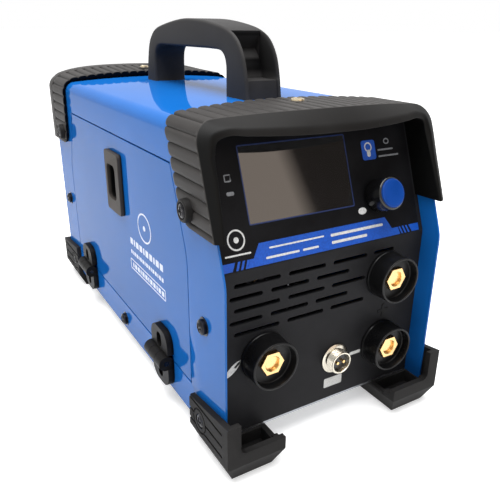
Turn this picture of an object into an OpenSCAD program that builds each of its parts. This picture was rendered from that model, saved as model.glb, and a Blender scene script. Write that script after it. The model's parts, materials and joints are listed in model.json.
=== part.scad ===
// Portable wire-feed welding power source: sheet-metal case, spool door, leaning control panel.
// Millimetres. X is to the right seen from the front, the front faces -Y, +Z is up.
// The origin is on the floor, midway between the side walls and midway along the case.

/* [Case] */
// Width over the side walls
case_w = 160; // [154:1:176]
// Length of the side walls below the bend
case_l = 348; // [340:1:380]
// Height of the side walls' lower edge above the floor
case_z = 14.7; // [13:0.1:17]
// Height of the top at its middle
top_z = 205.5; // [202:0.5:214]
// Radius of the slightly crowned top, seen from the front
crown_r = 900; // [800:10:2000]
// Radius of the two top corners
corner_r = 8.5; // [7:0.5:11]
// Thickness of the case sheet
sheet_t = 1.2; // [0.8:0.1:1.6]
// Height at which the front edge bends back
bend_z = 124.3; // [121:0.1:127]
// Lean of the front above the bend, in degrees
lean = 20.5; // [18:0.5:23]
// Radius of the bend in the side walls' front edge
bend_r = 24; // [12:1:40]
// Radius of the bend in the front panel
panel_bend_r = 4; // [3:0.5:8]
// Thickness of the floor plate
base_t = 1.5; // [1:0.1:2.5]
// Height of the floor plate's side flanges above the plate
base_flange_h = 15; // [13:0.5:20]

/* [Front panel] */
// Distance from the side walls' front edge back to the panel face
panel_setback = 14; // [12:0.5:16]
// Wall of the moulded front panel
panel_t = 2.5; // [2:0.1:3]
// Depth of the panel's side returns
panel_return = 18; // [17:0.5:21]
// Gap between the panels and the case sheet
panel_gap = 0.3; // [0.2:0.05:0.4]
// Thickness of the printed overlay
overlay_t = 0.4; // [0.3:0.05:0.6]
// Margin of the overlay inside the panel at each side
overlay_margin = 3.5; // [3:0.5:6]
// Lower edge of the overlay above the bend, up the slope
overlay_low = 1; // [1:0.5:3]
// Upper edge of the overlay above the bend, up the slope
overlay_high = 74; // [71:0.5:76]
// Width of the display window
display_w = 75; // [68:0.5:76]
// Height of the display window up the slope
display_h = 44; // [40:0.5:46]
// Middle of the display window from the centre line
display_x = -14.1; // [-16:0.1:-12]
// Height of the middle of the display window
display_z = 168.2; // [166:0.1:170]
// Clearance round the display lens
display_gap = 0.2; // [0.1:0.05:0.3]
// Depth of the display module
module_d = 8; // [6:0.5:10]

/* [Vent slots] */
// Height of the top row of slots
vent_z = 116; // [115:0.5:117]
// Height from row to row
vent_pitch_z = 7.75; // [7.5:0.05:8]
// Number of rows
vent_rows = 5; // [4:1:5]
// Height of a slot
vent_h = 2.8; // [2:0.1:3.4]
// Web between two slots of a row
vent_web = 5.7; // [5:0.1:6]
// Length of a plain slot
vent_l = 27.3; // [26:0.1:28]
// Left end of the top row, counted from the centre line, and of every second row below it
vent_x = -66.6; // [-68:0.1:-66]
// Length of the first slot of those rows
vent_first_l = 31.3; // [30:0.1:32]
// Length of the last slot of the top row
vent_last_l = 17; // [14:0.1:18]
// Left end of the rows between them
vent_between_x = -69.5; // [-70:0.1:-68]
// Length of the first slot of the rows between
vent_short_l = 22; // [20:0.1:23]
// Length of the last slot of the rows between
vent_end_l = 25.5; // [24:0.1:27]

/* [Knob] */
// Middle of the knob from the centre line
knob_x = 42.4; // [41:0.1:44]
// Height of the knob's axis at the panel face
knob_z = 150.8; // [149:0.1:153]
// Radius of the knob
knob_r = 10.5; // [8:0.5:11]
// Length of the black knob body
knob_l = 14; // [11:0.5:16]
// Thickness of the coloured cap
cap_t = 2.5; // [1.5:0.1:4]
// Rim of the knob round the cap
cap_rim = 1.5; // [0.4:0.1:2]
// Gap between knob and panel overlay
knob_gap = 1.2; // [1:0.1:2]
// Radius of the encoder shaft
shaft_r = 3; // [2.5:0.1:3.2]
// Radial running gap of the shaft
shaft_gap = 0.3; // [0.2:0.05:0.4]
// Play over the shaft end that lets the knob be pressed
press_play = 1; // [0.8:0.1:1.5]

/* [Sockets] */
// Radius of a socket collar
collar_r = 16; // [15:0.5:17]
// Length of a collar in front of the panel
collar_l = 15; // [12:0.5:18]
// Radius of the collar's neck through the panel
neck_r = 11; // [10:0.5:12.5]
// Radius of the recess in the collar's face
recess_r = 14.2; // [12:0.1:14.5]
// Depth of that recess
recess_d = 6; // [4:0.5:8]
// Radius of the brass insert
insert_r = 7.5; // [6.5:0.1:8]
// Radius of the insert's hexagonal head over its corners
head_r = 8.2; // [7.8:0.1:8.8]
// Thickness of that head
head_t = 2; // [1:0.1:3]
// Radius of the insert's bore, for a 10 to 25 square millimetre plug
plug_r = 4.5; // [4.5:0.1:4.7]
// Depth of that bore
plug_d = 18; // [15:0.5:20]
// Radial clearance of the neck in the panel
neck_gap = 0.3; // [0.2:0.05:0.5]
// Left socket: distance from the centre line
work_x = -46.5; // [-48:0.1:-45]
// Left socket: height
work_z = 66; // [64:0.5:67]
// Upper right socket: distance from the centre line
upper_x = 47.5; // [46:0.1:49]
// Upper right socket: height
upper_z = 99.5; // [98:0.5:101]
// Lower right socket: distance from the centre line
lower_x = 48; // [46:0.1:49]
// Lower right socket: height
lower_z = 48.5; // [47:0.5:50]
// Control connector: distance from the centre line
plug_x = 9.3; // [8:0.1:11]
// Control connector: height
plug_z = 46.7; // [45:0.1:49]
// Thread radius of the control connector
port_r = 8; // [8:0.1:8.2]
// Length of the connector's thread in front of its flange
port_l = 6.5; // [5:0.5:8]
// Radius of the connector's flange
port_flange_r = 10.5; // [9.5:0.5:12]
// Thickness of the connector's flange
port_flange_t = 1.8; // [1.2:0.1:2.5]

/* [Hoods] */
// Wall of a hood under its ribs
hood_t = 2.2; // [1.8:0.1:3]
// Height of a rib over the hood's skin
rib_h = 1.2; // [0.8:0.1:1.4]
// Distance the ribs reach before the case's leaning edge
rib_start = 4.4; // [3:0.2:6]
// Width of a rib
rib_w = 5.6; // [4:0.1:6.4]
// Distance from rib to rib
rib_pitch = 8; // [7.5:0.1:9]
// Lower edge of the hoods' sides
hood_z = 147.5; // [146:0.5:150]
// Distance the front hood reaches before the case edge
hood_reach = 6; // [4:0.5:8]
// Extra reach of the visor at its middle
visor_bow = 10; // [6:0.5:12]
// Slope of the visor's upper band, back from upright, in degrees
brow_lean = 44; // [36:1:50]
// Thickness of the visor lip at the sides
lip_side = 5.7; // [5:0.1:7]
// Thickness of the visor lip at its middle
lip_mid = 12.5; // [11:0.5:13.5]
// Height of the lip's front face at its middle
lip_face = 4.3; // [3.5:0.1:6]
// Height by which the rear hood arches over the case at its middle
rear_rise = 3.7; // [0:0.1:6]
// Depth of the rear hood's plain rim
rim_d = 11; // [8:0.5:13]
// Distance from the case's leaning edge back to the front hood's rear edge
hood_d = 37; // [34:0.5:40]
// Extra reach of that rear edge at the middle of the top
hood_tail = 7; // [4:0.5:10]
// Rounding of the hoods' lower corners
hood_corner_r = 10; // [8:0.5:12]
// Distance from the rear hood's front edge to the case's rear edge, at the top
hood_rear_d = 51; // [47:0.5:56]
// Distance by which the rear hood is shorter at its lower edge
hood_rear_step = 4; // [2:0.5:6]
// Reach of the rear hood behind the case
hood_rear_reach = 3; // [2:0.5:5]
// Head radius of the hood screws
hood_screw_r = 4.2; // [3.6:0.1:4.6]
// Radius of the hoods' bosses round those screws
hood_boss_r = 6.6; // [6:0.1:7.5]
// Height of those bosses over the ribs
hood_boss_h = 3.8; // [2.5:0.1:5]
// Depth of the seat in a boss's end
hood_seat_d = 1.4; // [1:0.1:2]
// Head radius of the screws on top of the hoods
top_screw_r = 4.2; // [3.5:0.1:5]
// Distance of the front hood's top screw behind the case's front edge
top_screw_y = 54; // [52:0.5:57]
// Distance of the rear hood's top screw in front of the case's rear edge
rear_screw_y = 37; // [34:0.5:41]

/* [Handle] */
// Width of the handle across the case
handle_w = 28; // [24:0.5:34]
// Front foot of the handle from the case middle, along the case
handle_y0 = -83; // [-86:0.5:-80]
// Rear foot of the handle from the case middle, along the case
handle_y1 = 94; // [90:0.5:98]
// Height of the handle over the case top
handle_h = 50; // [46:0.5:58]
// Thickness of the grip
grip_t = 20; // [17:0.5:22]
// Thickness of the legs along the case
leg_t = 27; // [22:0.5:30]
// Rounding inside the grip opening
grip_r = 10; // [6:0.5:13]
// Wall at each side of the channel in the front leg
channel_wall = 4; // [3:0.5:6]
// Depth of that channel
channel_d = 17; // [14:0.5:18]
// Height of that channel's floor over the case top
channel_z = 12.5; // [10:0.5:14]
// Recess of the leg's front face between its edges, below the channel
face_d = 1.5; // [1:0.1:2.5]

/* [Feet] */
// Width of a foot
foot_w = 40; // [34:0.5:46]
// Length of a foot
foot_l = 51; // [48:0.5:56]
// Reach of a foot beyond the case end
foot_reach = 10; // [8:0.5:12]
// Thickness of a foot's cheek on the side wall
cheek_t = 4; // [3.5:0.1:5]
// Height of a foot's cheek
foot_h = 42; // [40:0.5:46]
// Fall of a front foot's cheek towards its inner end
foot_fall = 7.5; // [0:0.5:9]
// Fall of a rear foot's cheek towards the rear
rear_foot_fall = 5; // [0:0.5:9]
// Height of the lip across the end
foot_lip_h = 21.4; // [19:0.2:24]
// Thickness of the foot's end wall
foot_wall = 4; // [3:0.5:5]
// Width of the post at the outer corner
post_w = 9; // [8:0.5:14]
// Rounding between the post and the lip
post_r = 4; // [2:0.5:6]
// Height of the tapered lower part
taper_h = 13; // [10:0.1:18]
// Inset of the taper at the floor
taper_in = 6; // [4:0.5:9]
// Gap between a foot and the side wall
foot_gap = 0.2; // [0.1:0.05:0.4]
// Height of the floor inside a foot's hollow
foot_floor = 6; // [4:0.5:9]
// Depth of the grooves in a foot's cheek
groove_d = 1; // [0.6:0.1:1.4]
// Width of those grooves
groove_w = 1.6; // [1:0.1:2.4]
// Distance of a foot's screw from the case end
foot_screw_y = 26.5; // [25:0.5:28]
// Height of a foot's screw
foot_screw_z = 23.5; // [22:0.5:24]
// Head radius of a foot's screw
foot_screw_r = 4.4; // [3.8:0.1:5]

/* [Side door] */
// Front edge of the door below the bend
door_y0 = -128; // [-130:0.5:-127]
// Rear edge of the door below the bend
door_y1 = 132.5; // [131:0.5:134]
// Inset of the door's upper corners
door_inset = 20; // [16:0.5:22]
// Height of the door's lower seam, which is the hinge line
seam_z = 38.5; // [36:0.5:40]
// Height of the door's upper seam
door_top_z = 177; // [174:0.5:178]
// Width of the seams
seam = 1; // [1:0.1:1.4]
// Depth of the door's folded edges
door_fold = 6; // [5:0.5:7]

/* [Hinges] */
// Radius of the hinge barrel
barrel_r = 5.3; // [4.8:0.1:5.6]
// Width of a hinge
hinge_w = 28.5; // [24:0.5:32]
// Height of a leaf from the hinge line
leaf_h = 21.5; // [20:0.5:24]
// Rounding of a leaf's two corners
leaf_r = 10; // [6:0.5:11]
// Thickness of a leaf
leaf_t = 4.7; // [3.5:0.1:4.8]
// Radius of the hinge pin
pin_r = 1.8; // [1.5:0.1:2.2]
// Running gap of the pin and between the knuckles
hinge_gap = 0.3; // [0.25:0.05:0.4]
// Place of the front hinge along the case
hinge_y0 = -86.5; // [-92:0.5:-84]
// Place of the rear hinge along the case
hinge_y1 = 89.5; // [86:0.5:94]

/* [Latch] */
// Middle of the latch along the case
latch_y = -4.4; // [-6:0.1:-2]
// Height of the middle of the latch
latch_z = 141.5; // [140:0.5:143]
// Width of the latch bezel
bezel_w = 31; // [30.5:0.5:34]
// Height of the latch bezel
bezel_h = 46; // [44:0.5:47]
// Rounding of the bezel's corners
bezel_r = 3; // [2:0.5:6]
// Height of the bezel over the door
bezel_t = 3.5; // [2.5:0.1:4]
// Depth of the bezel's box behind the door sheet
box_d = 4; // [3:0.5:5]
// Width of the finger recess
finger_w = 18; // [16:0.5:18.5]
// Height of the finger recess
finger_h = 26; // [25:0.5:28]
// Rounding of the finger recess
finger_r = 4; // [2:0.5:6]
// Distance of the finger recess behind the middle of the bezel
finger_shift = 2; // [0:0.5:2]
// Overlap of the latch tongue behind the case edge
tongue_lap = 3.5; // [3:0.1:4]
// Width of the latch tongue
tongue_w = 14; // [10:0.5:16]
// Running gap of the latch slide
latch_gap = 0.3; // [0.25:0.05:0.4]
// Travel of the latch slide
latch_travel = 5; // [4.5:0.1:5.5]

/* [Screws] */
// Head radius of the case screws
screw_r = 5.8; // [5:0.1:6.5]
// Head height of the case screws
screw_h = 4; // [3:0.1:4.5]
// Shank radius of the case screws
shank_r = 2; // [1.5:0.1:2.5]
// Shank length of the case screws
shank_l = 6; // [5:0.5:8]
// Height of the case screws near the two ends
screw_z = 89.5; // [86:0.5:92]
// Height of the case screws in the floor flanges
low_screw_z = 24; // [23:0.5:26]
// Distance of the front screws from the case's front edge
screw_front = 25.5; // [24:0.5:27]
// Distance of the rear screws from the case's rear edge
screw_rear = 24; // [22:0.5:25]

/* [Rear] */
// Distance from the case's rear edge to the rear panel
rear_setback = 5; // [3:0.5:8]
// Depth of the rear panel's returns
rear_return = 26; // [24:0.5:30]
// Side of the fan frame
fan_w = 92; // [90:0.5:92]
// Depth of the fan frame
fan_d = 25; // [20:0.5:26]
// Gap between the fan frame and the side wall
fan_gap = 6.8; // [6.2:0.2:8]
// Height of the fan
fan_z = 106; // [100:0.5:110]
// Radius of the fan's opening
fan_r = 44; // [42:0.2:44.4]
// Gap between the blade tips and the opening
tip_gap = 1; // [0.8:0.1:1.6]
// Radius of the fan hub
fan_hub_r = 18; // [16:0.5:20]
// Number of fan blades
blades = 7; // [5:1:7]
// Width of the power switch opening
switch_w = 21; // [20:0.5:22]
// Height of the power switch opening
switch_h = 28; // [27:0.5:30]
// Distance of the switch and the cable gland from the side wall
inlet_inset = 30.8; // [29:0.2:33]
// Height of the power switch
switch_z = 132; // [128:0.5:136]
// Height of the cable gland
gland_z = 62; // [56:0.5:70]
// Radius of the gland's cable bore
gland_bore_r = 5; // [5:0.1:5.5]
// Thread radius of the gland
gland_r = 10; // [9:0.5:11]
// Tilt of the rocker, in degrees
rocker_tilt = 8; // [6:0.5:10]
// Radius of the rocker's pivot
pivot_r = 1.5; // [1.2:0.1:2]

/* [Power section] */
// Front edge of the power board, from the case middle
board_y = -55; // [-58:1:-50]
// Height of the power board
board_z = 52; // [46:1:56]
// Length of the power board
board_l = 158; // [150:1:160]
// Thickness of the circuit boards
pcb_t = 1.6; // [1.2:0.1:2]
// Width of the heat sink
sink_w = 62; // [56:1:66]
// Length of the heat sink
sink_l = 140; // [120:1:146]
// Distance from fin to fin
fin_pitch = 6.6; // [6:0.1:7]
// Gap between two fins
fin_gap = 3.6; // [3:0.1:4]
// Thickness of the heat sink's plate
sink_t = 5; // [4:0.5:7]
// Width of the transformer core
core_w = 44; // [40:1:46]
// Length of the transformer core
core_l = 32; // [26:1:36]
// Height of the transformer core
core_h = 46; // [42:1:50]
// Thickness of the core's limbs
core_limb = 8; // [7:0.5:9]
// Thickness of the transformer winding
winding_t = 2.6; // [2:0.1:3]
// Radius of the output choke's ring
choke_r = 20; // [18:0.5:21]
// Radius of its winding
choke_t = 9.9; // [8:0.1:10]
// Radius of a capacitor
cap_r = 12; // [10:0.5:13]
// Height of a capacitor
cap_h = 40; // [32:1:45]
// Distance from capacitor to capacitor
cap_pitch = 27; // [26.5:0.5:30]

/* [Wire feeder] */
// Distance of the dividing wall from the centre line
wall_x = -14; // [-15:0.5:-13]
// Distance of the drive roll's axis from the case middle
roll_y = -72; // [-74:0.5:-70]
// Height of the drive roll's axis
roll_z = 80; // [78:0.5:84]
// Radius of the drive roll
roll_r = 15; // [13:0.5:16]
// Radius of the pressure roll
idler_r = 11; // [9:0.5:12]
// Width of the rolls
roll_w = 10; // [8:0.5:11]
// Wire between the two rolls
wire_d = 0.8; // [0.6:0.1:1]
// Thickness of the feeder plate
feeder_t = 6; // [5:0.5:8]
// Lift of the pressure arm, in degrees
arm_lift = 6; // [4:0.5:6]
// Radius of the spool flanges
spool_r = 50; // [46:0.5:51]
// Width of the wire spool
spool_w = 44; // [40:0.5:46]
// Radius of the spool's bore
spool_bore_r = 8.3; // [8:0.1:9]
// Place of the spool along the case
spool_y = 62; // [61:0.5:64]
// Height of the spool's axis
spool_z = 98; // [94:0.5:104]
// Radial gap of the spool on its shaft
spool_gap = 0.3; // [0.2:0.05:0.4]

/* [Hidden] */
$fn = 64;

front_y = -case_l / 2;
rear_y = case_l / 2;
wall_in = case_w / 2 - sheet_t;
top_in = top_z - sheet_t;
panel_w = 2 * (wall_in - panel_gap);
panel_y = front_y + panel_setback;
panel_z = case_z + base_t;
panel_top = top_in - panel_gap;
panel_r = corner_r - sheet_t - panel_gap;
back_y = rear_y - rear_setback;
hood_all = hood_t + rib_h;
far = 2 * case_l;
div_x = wall_x - sheet_t;
feed_x = div_x - feeder_t;
roll_x1 = feed_x - 1.2;
roll_x0 = roll_x1 - roll_w;
idler_z = roll_z + roll_r + wire_d + idler_r;
hinge_x = -(case_w / 2 + hinge_gap + barrel_r);
fan_x = wall_in - fan_gap - fan_w / 2;
inlet_x = inlet_inset - wall_in;
fan_y1 = back_y - sheet_t;
fan_y0 = fan_y1 - fan_d;
div_y0 = panel_y + panel_return + 4;
div_y1 = fan_y0 - 6;
spool_x1 = div_x - 3;
spool_x0 = spool_x1 - spool_w;
spool_shaft_r = spool_bore_r - spool_gap;
finger_y = latch_y + finger_shift;
foot_grooves = [9, 17.5, 25];

// Place along the case of the leaning line that starts at y, at height z
function lean_y(y, z) = y + tan(lean) * (z - bend_z);

// Height of the corner centres over the centre of the crown
function corner_dz(w, r, cr) = sqrt(pow(cr - r, 2) - pow(w / 2 - r, 2));

// Outline of the case seen from the front: upright sides, round corners, crowned top
function case_line(w, low, top, r, cr) =
    let (zc = top - cr, dz = corner_dz(w, r, cr), a = atan2(dz, w / 2 - r), cx = w / 2 - r)
    concat(
        [[w / 2, low]],
        [for (i = [0:10]) [cx + r * cos(a * i / 10), zc + dz + r * sin(a * i / 10)]],
        [for (i = [1:11]) [cr * cos(a + (90 - a) * i / 6), zc + cr * sin(a + (90 - a) * i / 6)]],
        [for (i = [10:-1:0]) [-cx - r * cos(a * i / 10), zc + dz + r * sin(a * i / 10)]],
        [[-w / 2, low]]
    );

// Case outline moved outwards by d, or inwards where d is negative
function case_offset(d, low, rise = 0) =
    case_line(case_w + 2 * d, low, top_z + d + rise, corner_r + d, arch_r(d, rise));

// Radius of a crown raised by rise at its middle over corners that stay in place
function arch_r(d, rise) =
    let (r = corner_r + d, c = case_w / 2 - corner_r)
    let (q = crown_r + d - corner_dz(case_w + 2 * d, r, crown_r + d) + rise)
    rise == 0 ? crown_r + d : (q * q - r * r + c * c) / (2 * (q - r));

// Front edge seen from the side: upright, rounded bend, leaning back
function front_line(y, low, high, r) =
    let (t = r * tan(lean / 2))
    concat(
        [[y, low]],
        [for (i = [0:6]) [y + r * (1 - cos(lean * i / 6)), bend_z - t + r * sin(lean * i / 6)]],
        [[lean_y(y, high), high]]
    );

// Area behind that front edge
function side_area(y, low, high, back, r) = concat(front_line(y, low, high, r), [[back, high], [back, low]]);

// Door outline moved outwards by g, its front and rear edges bent as the case's front edge is
function door_edge(y, g, side) =
    let (a = atan(door_inset / (door_top_z - bend_z)), r = 2 * bend_r, t = r * tan(a / 2))
    concat(
        [[y - side * g, seam_z - g]],
        [for (i = [0:4]) [y - side * (g - r * (1 - cos(a * i / 4))), bend_z - t + r * sin(a * i / 4)]],
        [[y - side * (g - door_inset - g * tan(a)), door_top_z + g]]
    );
function door_line(g) =
    let (rear = door_edge(door_y1, g, -1), n = len(rear))
    concat(door_edge(door_y0, g, 1), [for (i = [n - 1:-1:0]) rear[i]]);

// Point of a curve that runs smoothly through the points p
function spline_at(p, i, t) =
    let (a = p[max(i - 1, 0)], b = p[i], c = p[i + 1], d = p[min(i + 2, len(p) - 1)])
    0.5 * (2 * b + (c - a) * t + (2 * a - 5 * b + 4 * c - d) * t * t + (3 * b - a - 3 * c + d) * t * t * t);
function spline(p, n) =
    concat([for (i = [0:len(p) - 2], k = [0:n - 1]) spline_at(p, i, k / n)], [p[len(p) - 1]]);

module along_y(y0, y1) {
    translate([0, y1, 0]) rotate([90, 0, 0]) linear_extrude(y1 - y0) children();
}

module across_x(x0, x1) {
    translate([x0, 0, 0]) rotate([90, 0, 90]) linear_extrude(x1 - x0) children();
}

// Places children on the upright panel, their Z pointing out of it
module on_front(x, z) {
    translate([x, panel_y, z]) rotate([90, 0, 0]) children();
}

// Places children on the leaning panel, their Y up the slope and their Z out of it
module on_lean(x, z) {
    translate([x, lean_y(panel_y, z), z]) rotate([90 - lean, 0, 0]) children();
}

// Places children with their Z along X, pointing to the left outside for side -1
module on_side(side, x, y, z) {
    translate([side * x, y, z]) rotate([0, side * 90, 0]) children();
}

module rounded(w, h, r) {
    square([w - 2 * r, h], center = true);
    square([w, h - 2 * r], center = true);
    for (x = [-1, 1], y = [-1, 1]) translate([x * (w / 2 - r), y * (h / 2 - r)]) circle(r);
}

module slot(l, h) {
    square([l - h, h], center = true);
    for (s = [-1, 1]) translate([s * (l - h) / 2, 0]) circle(h / 2);
}

module bar(r, l) {
    cylinder(h = l, r = r);
}

// Case screw axes, pointing outwards from the side walls
module case_screw_axes() {
    for (s = [-1, 1]) {
        on_side(s, case_w / 2, front_y + screw_front, screw_z) children();
        on_side(s, case_w / 2, 0, low_screw_z) children();
        on_side(s, case_w / 2, rear_y - screw_rear, screw_z) children();
    }
}

module foot_screw_axes() {
    for (s = [-1, 1], e = [-1, 1])
        on_side(s, case_w / 2, e * (rear_y - foot_screw_y), foot_screw_z) children();
}

module hood_screw_axes() {
    for (s = [-1, 1]) {
        on_side(s, case_w / 2, lean_y(front_y, hood_z) + hood_d - hood_corner_r, hood_z + hood_corner_r)
            children();
        on_side(s, case_w / 2, rear_y - hood_rear_d + hood_rear_step + hood_corner_r, hood_z + hood_corner_r)
            children();
    }
}

module top_screw_axes() {
    translate([0, front_y + top_screw_y, top_z]) children();
    translate([0, rear_y - rear_screw_y, top_z + rear_rise]) children();
}

module screw_hole(r) {
    translate([0, 0, -3 * shank_l]) bar(r + 0.2, 5 * shank_l);
}

// ---- case ----
module base_chassis() {
    color("dimgray") difference() {
        union() {
            translate([-panel_w / 2, panel_y, case_z]) cube([panel_w, back_y - panel_y, base_t]);
            for (s = [-1, 1])
                translate([s * (panel_w - base_t) / 2 - base_t / 2, panel_y + panel_return + 1, case_z])
                    cube([base_t, back_y - rear_return - panel_y - panel_return - 2, base_t + base_flange_h]);
        }
        case_screw_axes() screw_hole(shank_r);
    }
}

module outer_cover() {
    color("royalblue") difference() {
        intersection() {
            along_y(front_y, rear_y) difference() {
                polygon(case_offset(0, case_z));
                polygon(case_offset(-sheet_t, case_z - 1));
            }
            across_x(-case_w, case_w) polygon(side_area(front_y, 0, 2 * top_z, far, bend_r));
        }
        across_x(-case_w / 2 - 1, -wall_in + 1) polygon(door_line(seam / 2));
        case_screw_axes() screw_hole(shank_r);
        foot_screw_axes() screw_hole(shank_r);
        hood_screw_axes() screw_hole(shank_r);
        top_screw_axes() screw_hole(shank_r);
    }
}

module side_door() {
    color("royalblue") difference() {
        across_x(-case_w / 2, -case_w / 2 + door_fold) polygon(door_line(-seam / 2));
        across_x(-wall_in, 0) polygon(door_line(-seam / 2 - sheet_t));
        across_x(-case_w, -wall_in + 1) translate([latch_y, latch_z])
            rounded(bezel_w - 5.8, bezel_h - 5.8, 4);
        translate([-wall_in, latch_y - tongue_w / 2 - latch_gap, latch_z])
            cube([case_w / 2, tongue_w + 2 * latch_gap, door_top_z - latch_z]);
    }
}

// Row of slots with the given lengths, from its left end x
module slot_row(x, z, lengths) {
    for (k = [0:len(lengths) - 1]) {
        before = k == 0 ? 0 : [for (i = [0:k - 1]) lengths[i] + vent_web] * [for (i = [0:k - 1]) 1];
        on_front(x + before + lengths[k] / 2, z) slot_cut(lengths[k]);
    }
}

module vent_slots() {
    full = [vent_first_l, vent_l, vent_l];
    between = [vent_short_l, vent_l, vent_end_l];
    for (i = [0:vent_rows - 1]) {
        z = vent_z - i * vent_pitch_z;
        if (i == 0) slot_row(vent_x, z, concat(full, [vent_last_l]));
        if (i > 0 && i % 2 == 0) slot_row(vent_x, z, full);
        if (i % 2 == 1) slot_row(vent_between_x, z, between);
    }
}

module slot_cut(l) {
    translate([0, 0, -2 * panel_t]) linear_extrude(3 * panel_t) slot(l, vent_h);
}

module front_panel() {
    color("#222226") difference() {
        intersection() {
            along_y(panel_y - 1, panel_y + 100) polygon(case_offset(-sheet_t - panel_gap, panel_z));
            across_x(-case_w, case_w) difference() {
                polygon(side_area(panel_y, 0, 2 * top_z, far, panel_bend_r));
                polygon(side_area(panel_y + panel_return, -1, 3 * top_z, 2 * far, panel_bend_r));
            }
        }
        intersection() {
            along_y(panel_y, panel_y + 120)
                polygon(case_offset(-sheet_t - panel_gap - panel_t, panel_z + panel_t));
            across_x(-case_w, case_w) polygon(side_area(panel_y + panel_t, 0, 2 * top_z, far, panel_bend_r));
        }
        vent_slots();
        socket_axes() translate([0, 0, -20]) bar(neck_r + neck_gap, 40);
        on_front(plug_x, plug_z) translate([0, 0, -20]) bar(port_r + neck_gap, 40);
        on_lean(display_x, display_z) translate([0, 0, -10])
            linear_extrude(20)
                square([display_w + 2 * display_gap, display_h + 2 * display_gap], center = true);
        on_lean(knob_x, knob_z) translate([0, 0, -10]) bar(shaft_r + 1 + shaft_gap, 20);
        case_screw_axes() screw_hole(shank_r);
        foot_screw_axes() screw_hole(shank_r);
        hood_screw_axes() screw_hole(shank_r);
        top_screw_axes() screw_hole(shank_r);
    }
}

module rear_panel() {
    color("#26262a") difference() {
        along_y(back_y - rear_return, back_y) polygon(case_offset(-sheet_t - panel_gap, panel_z));
        along_y(back_y - rear_return - 1, back_y - sheet_t)
            polygon(case_offset(-2 * sheet_t - panel_gap, panel_z + sheet_t));
        for (k = [-5:5]) {
            half = sqrt(pow(fan_r - 2, 2) - pow(k * 7.5, 2));
            translate([fan_x, back_y + 5, fan_z + k * 7.5]) rotate([90, 0, 0]) linear_extrude(10)
                slot(2 * half, 3.6);
        }
        along_y(back_y - 5, back_y + 5) translate([inlet_x, switch_z])
            square([switch_w + 0.4, switch_h + 0.4], center = true);
        along_y(back_y - 5, back_y + 5) translate([inlet_x, gland_z]) circle(gland_r + 0.3);
        case_screw_axes() screw_hole(shank_r);
        foot_screw_axes() screw_hole(shank_r);
    }
}

// ---- hoods ----
// Places children on the outline of the hood skin, s along it from the middle of the top to the right
module at_outline(s, rise) {
    w = case_w + 2 * hood_t;
    r = corner_r + hood_t;
    cr = arch_r(hood_t, rise);
    zc = top_z + hood_t + rise - cr;
    dz = corner_dz(w, r, cr);
    a = atan2(dz, w / 2 - r);
    s1 = cr * (90 - a) * PI / 180;
    s2 = s1 + r * a * PI / 180;
    cx = w / 2 - r;
    cz = zc + dz;
    if (s < s1) translate([0, zc]) rotate(-s / cr * 180 / PI) translate([0, cr]) children();
    if (s >= s1 && s < s2) translate([cx, cz]) rotate(a - 90 - (s - s1) / r * 180 / PI) translate([0, r])
        children();
    if (s >= s2) translate([w / 2, cz - (s - s2)]) rotate(-90) children();
}

// Length of the hood skin's outline from the middle of the top to a side's lower edge
function outline_half() =
    let (w = case_w + 2 * hood_t, r = corner_r + hood_t, cr = crown_r + hood_t, dz = corner_dz(w, r, cr))
    let (a = atan2(dz, w / 2 - r))
    (cr * (90 - a) + r * a) * PI / 180 + top_z - crown_r + dz - hood_z;

module ribbed_ring(rise) {
    n = floor((outline_half() - rib_w / 2) / rib_pitch);
    difference() {
        union() {
            polygon(case_offset(hood_t, hood_z, rise));
            for (i = [0:n], m = [0, 1]) mirror([m, 0]) at_outline(i * rib_pitch, rise)
                square([rib_w, 2 * rib_h], center = true);
        }
        polygon(case_offset(0, 0, rise));
        if (rise > 0) polygon(case_offset(0, 0));
    }
}

// Opening inside the visor lip
function lip_line() =
    let (x = case_w / 2 + hood_all - lip_side, r = corner_r, zt = top_z + hood_all - lip_side - 2.6)
    let (zm = top_z + hood_all - lip_mid)
    concat(
        [[x, 0]],
        [for (i = [0:8]) [x - r + r * cos(90 * i / 8), zt - r + r * sin(90 * i / 8)]],
        [for (i = [1:11]) let (u = (x - r) * (1 - i / 6)) [u, zm + (zt - zm) * pow(u / (x - r), 2)]],
        [for (i = [8:-1:0]) [-(x - r + r * cos(90 * i / 8)), zt - r + r * sin(90 * i / 8)]],
        [[-x, 0]]
    );

module lip_ring(rise) {
    difference() {
        polygon(case_offset(hood_all, hood_z, rise));
        polygon(lip_line());
    }
}

module visor_ring(rise) {
    difference() {
        polygon(case_offset(hood_all, hood_z, rise));
        polygon(case_offset(0, 0, rise));
        if (rise > 0) polygon(case_offset(0, 0));
    }
}

// Side area between two lines parallel to the leaning edge, d0 and d1 behind it
function strip(d0, d1) = [
    [lean_y(front_y + d0, hood_z), hood_z],
    [lean_y(front_y + d0, 2 * top_z), 2 * top_z],
    [lean_y(front_y + d1, 2 * top_z), 2 * top_z],
    [lean_y(front_y + d1, hood_z), hood_z]
];

module screw_boss() {
    bar(hood_boss_r, hood_all + hood_boss_h);
}

module screw_seat() {
    translate([0, 0, hood_all + hood_boss_h - hood_seat_d]) bar(hood_screw_r + 0.4, 2 * hood_seat_d);
}

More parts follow.
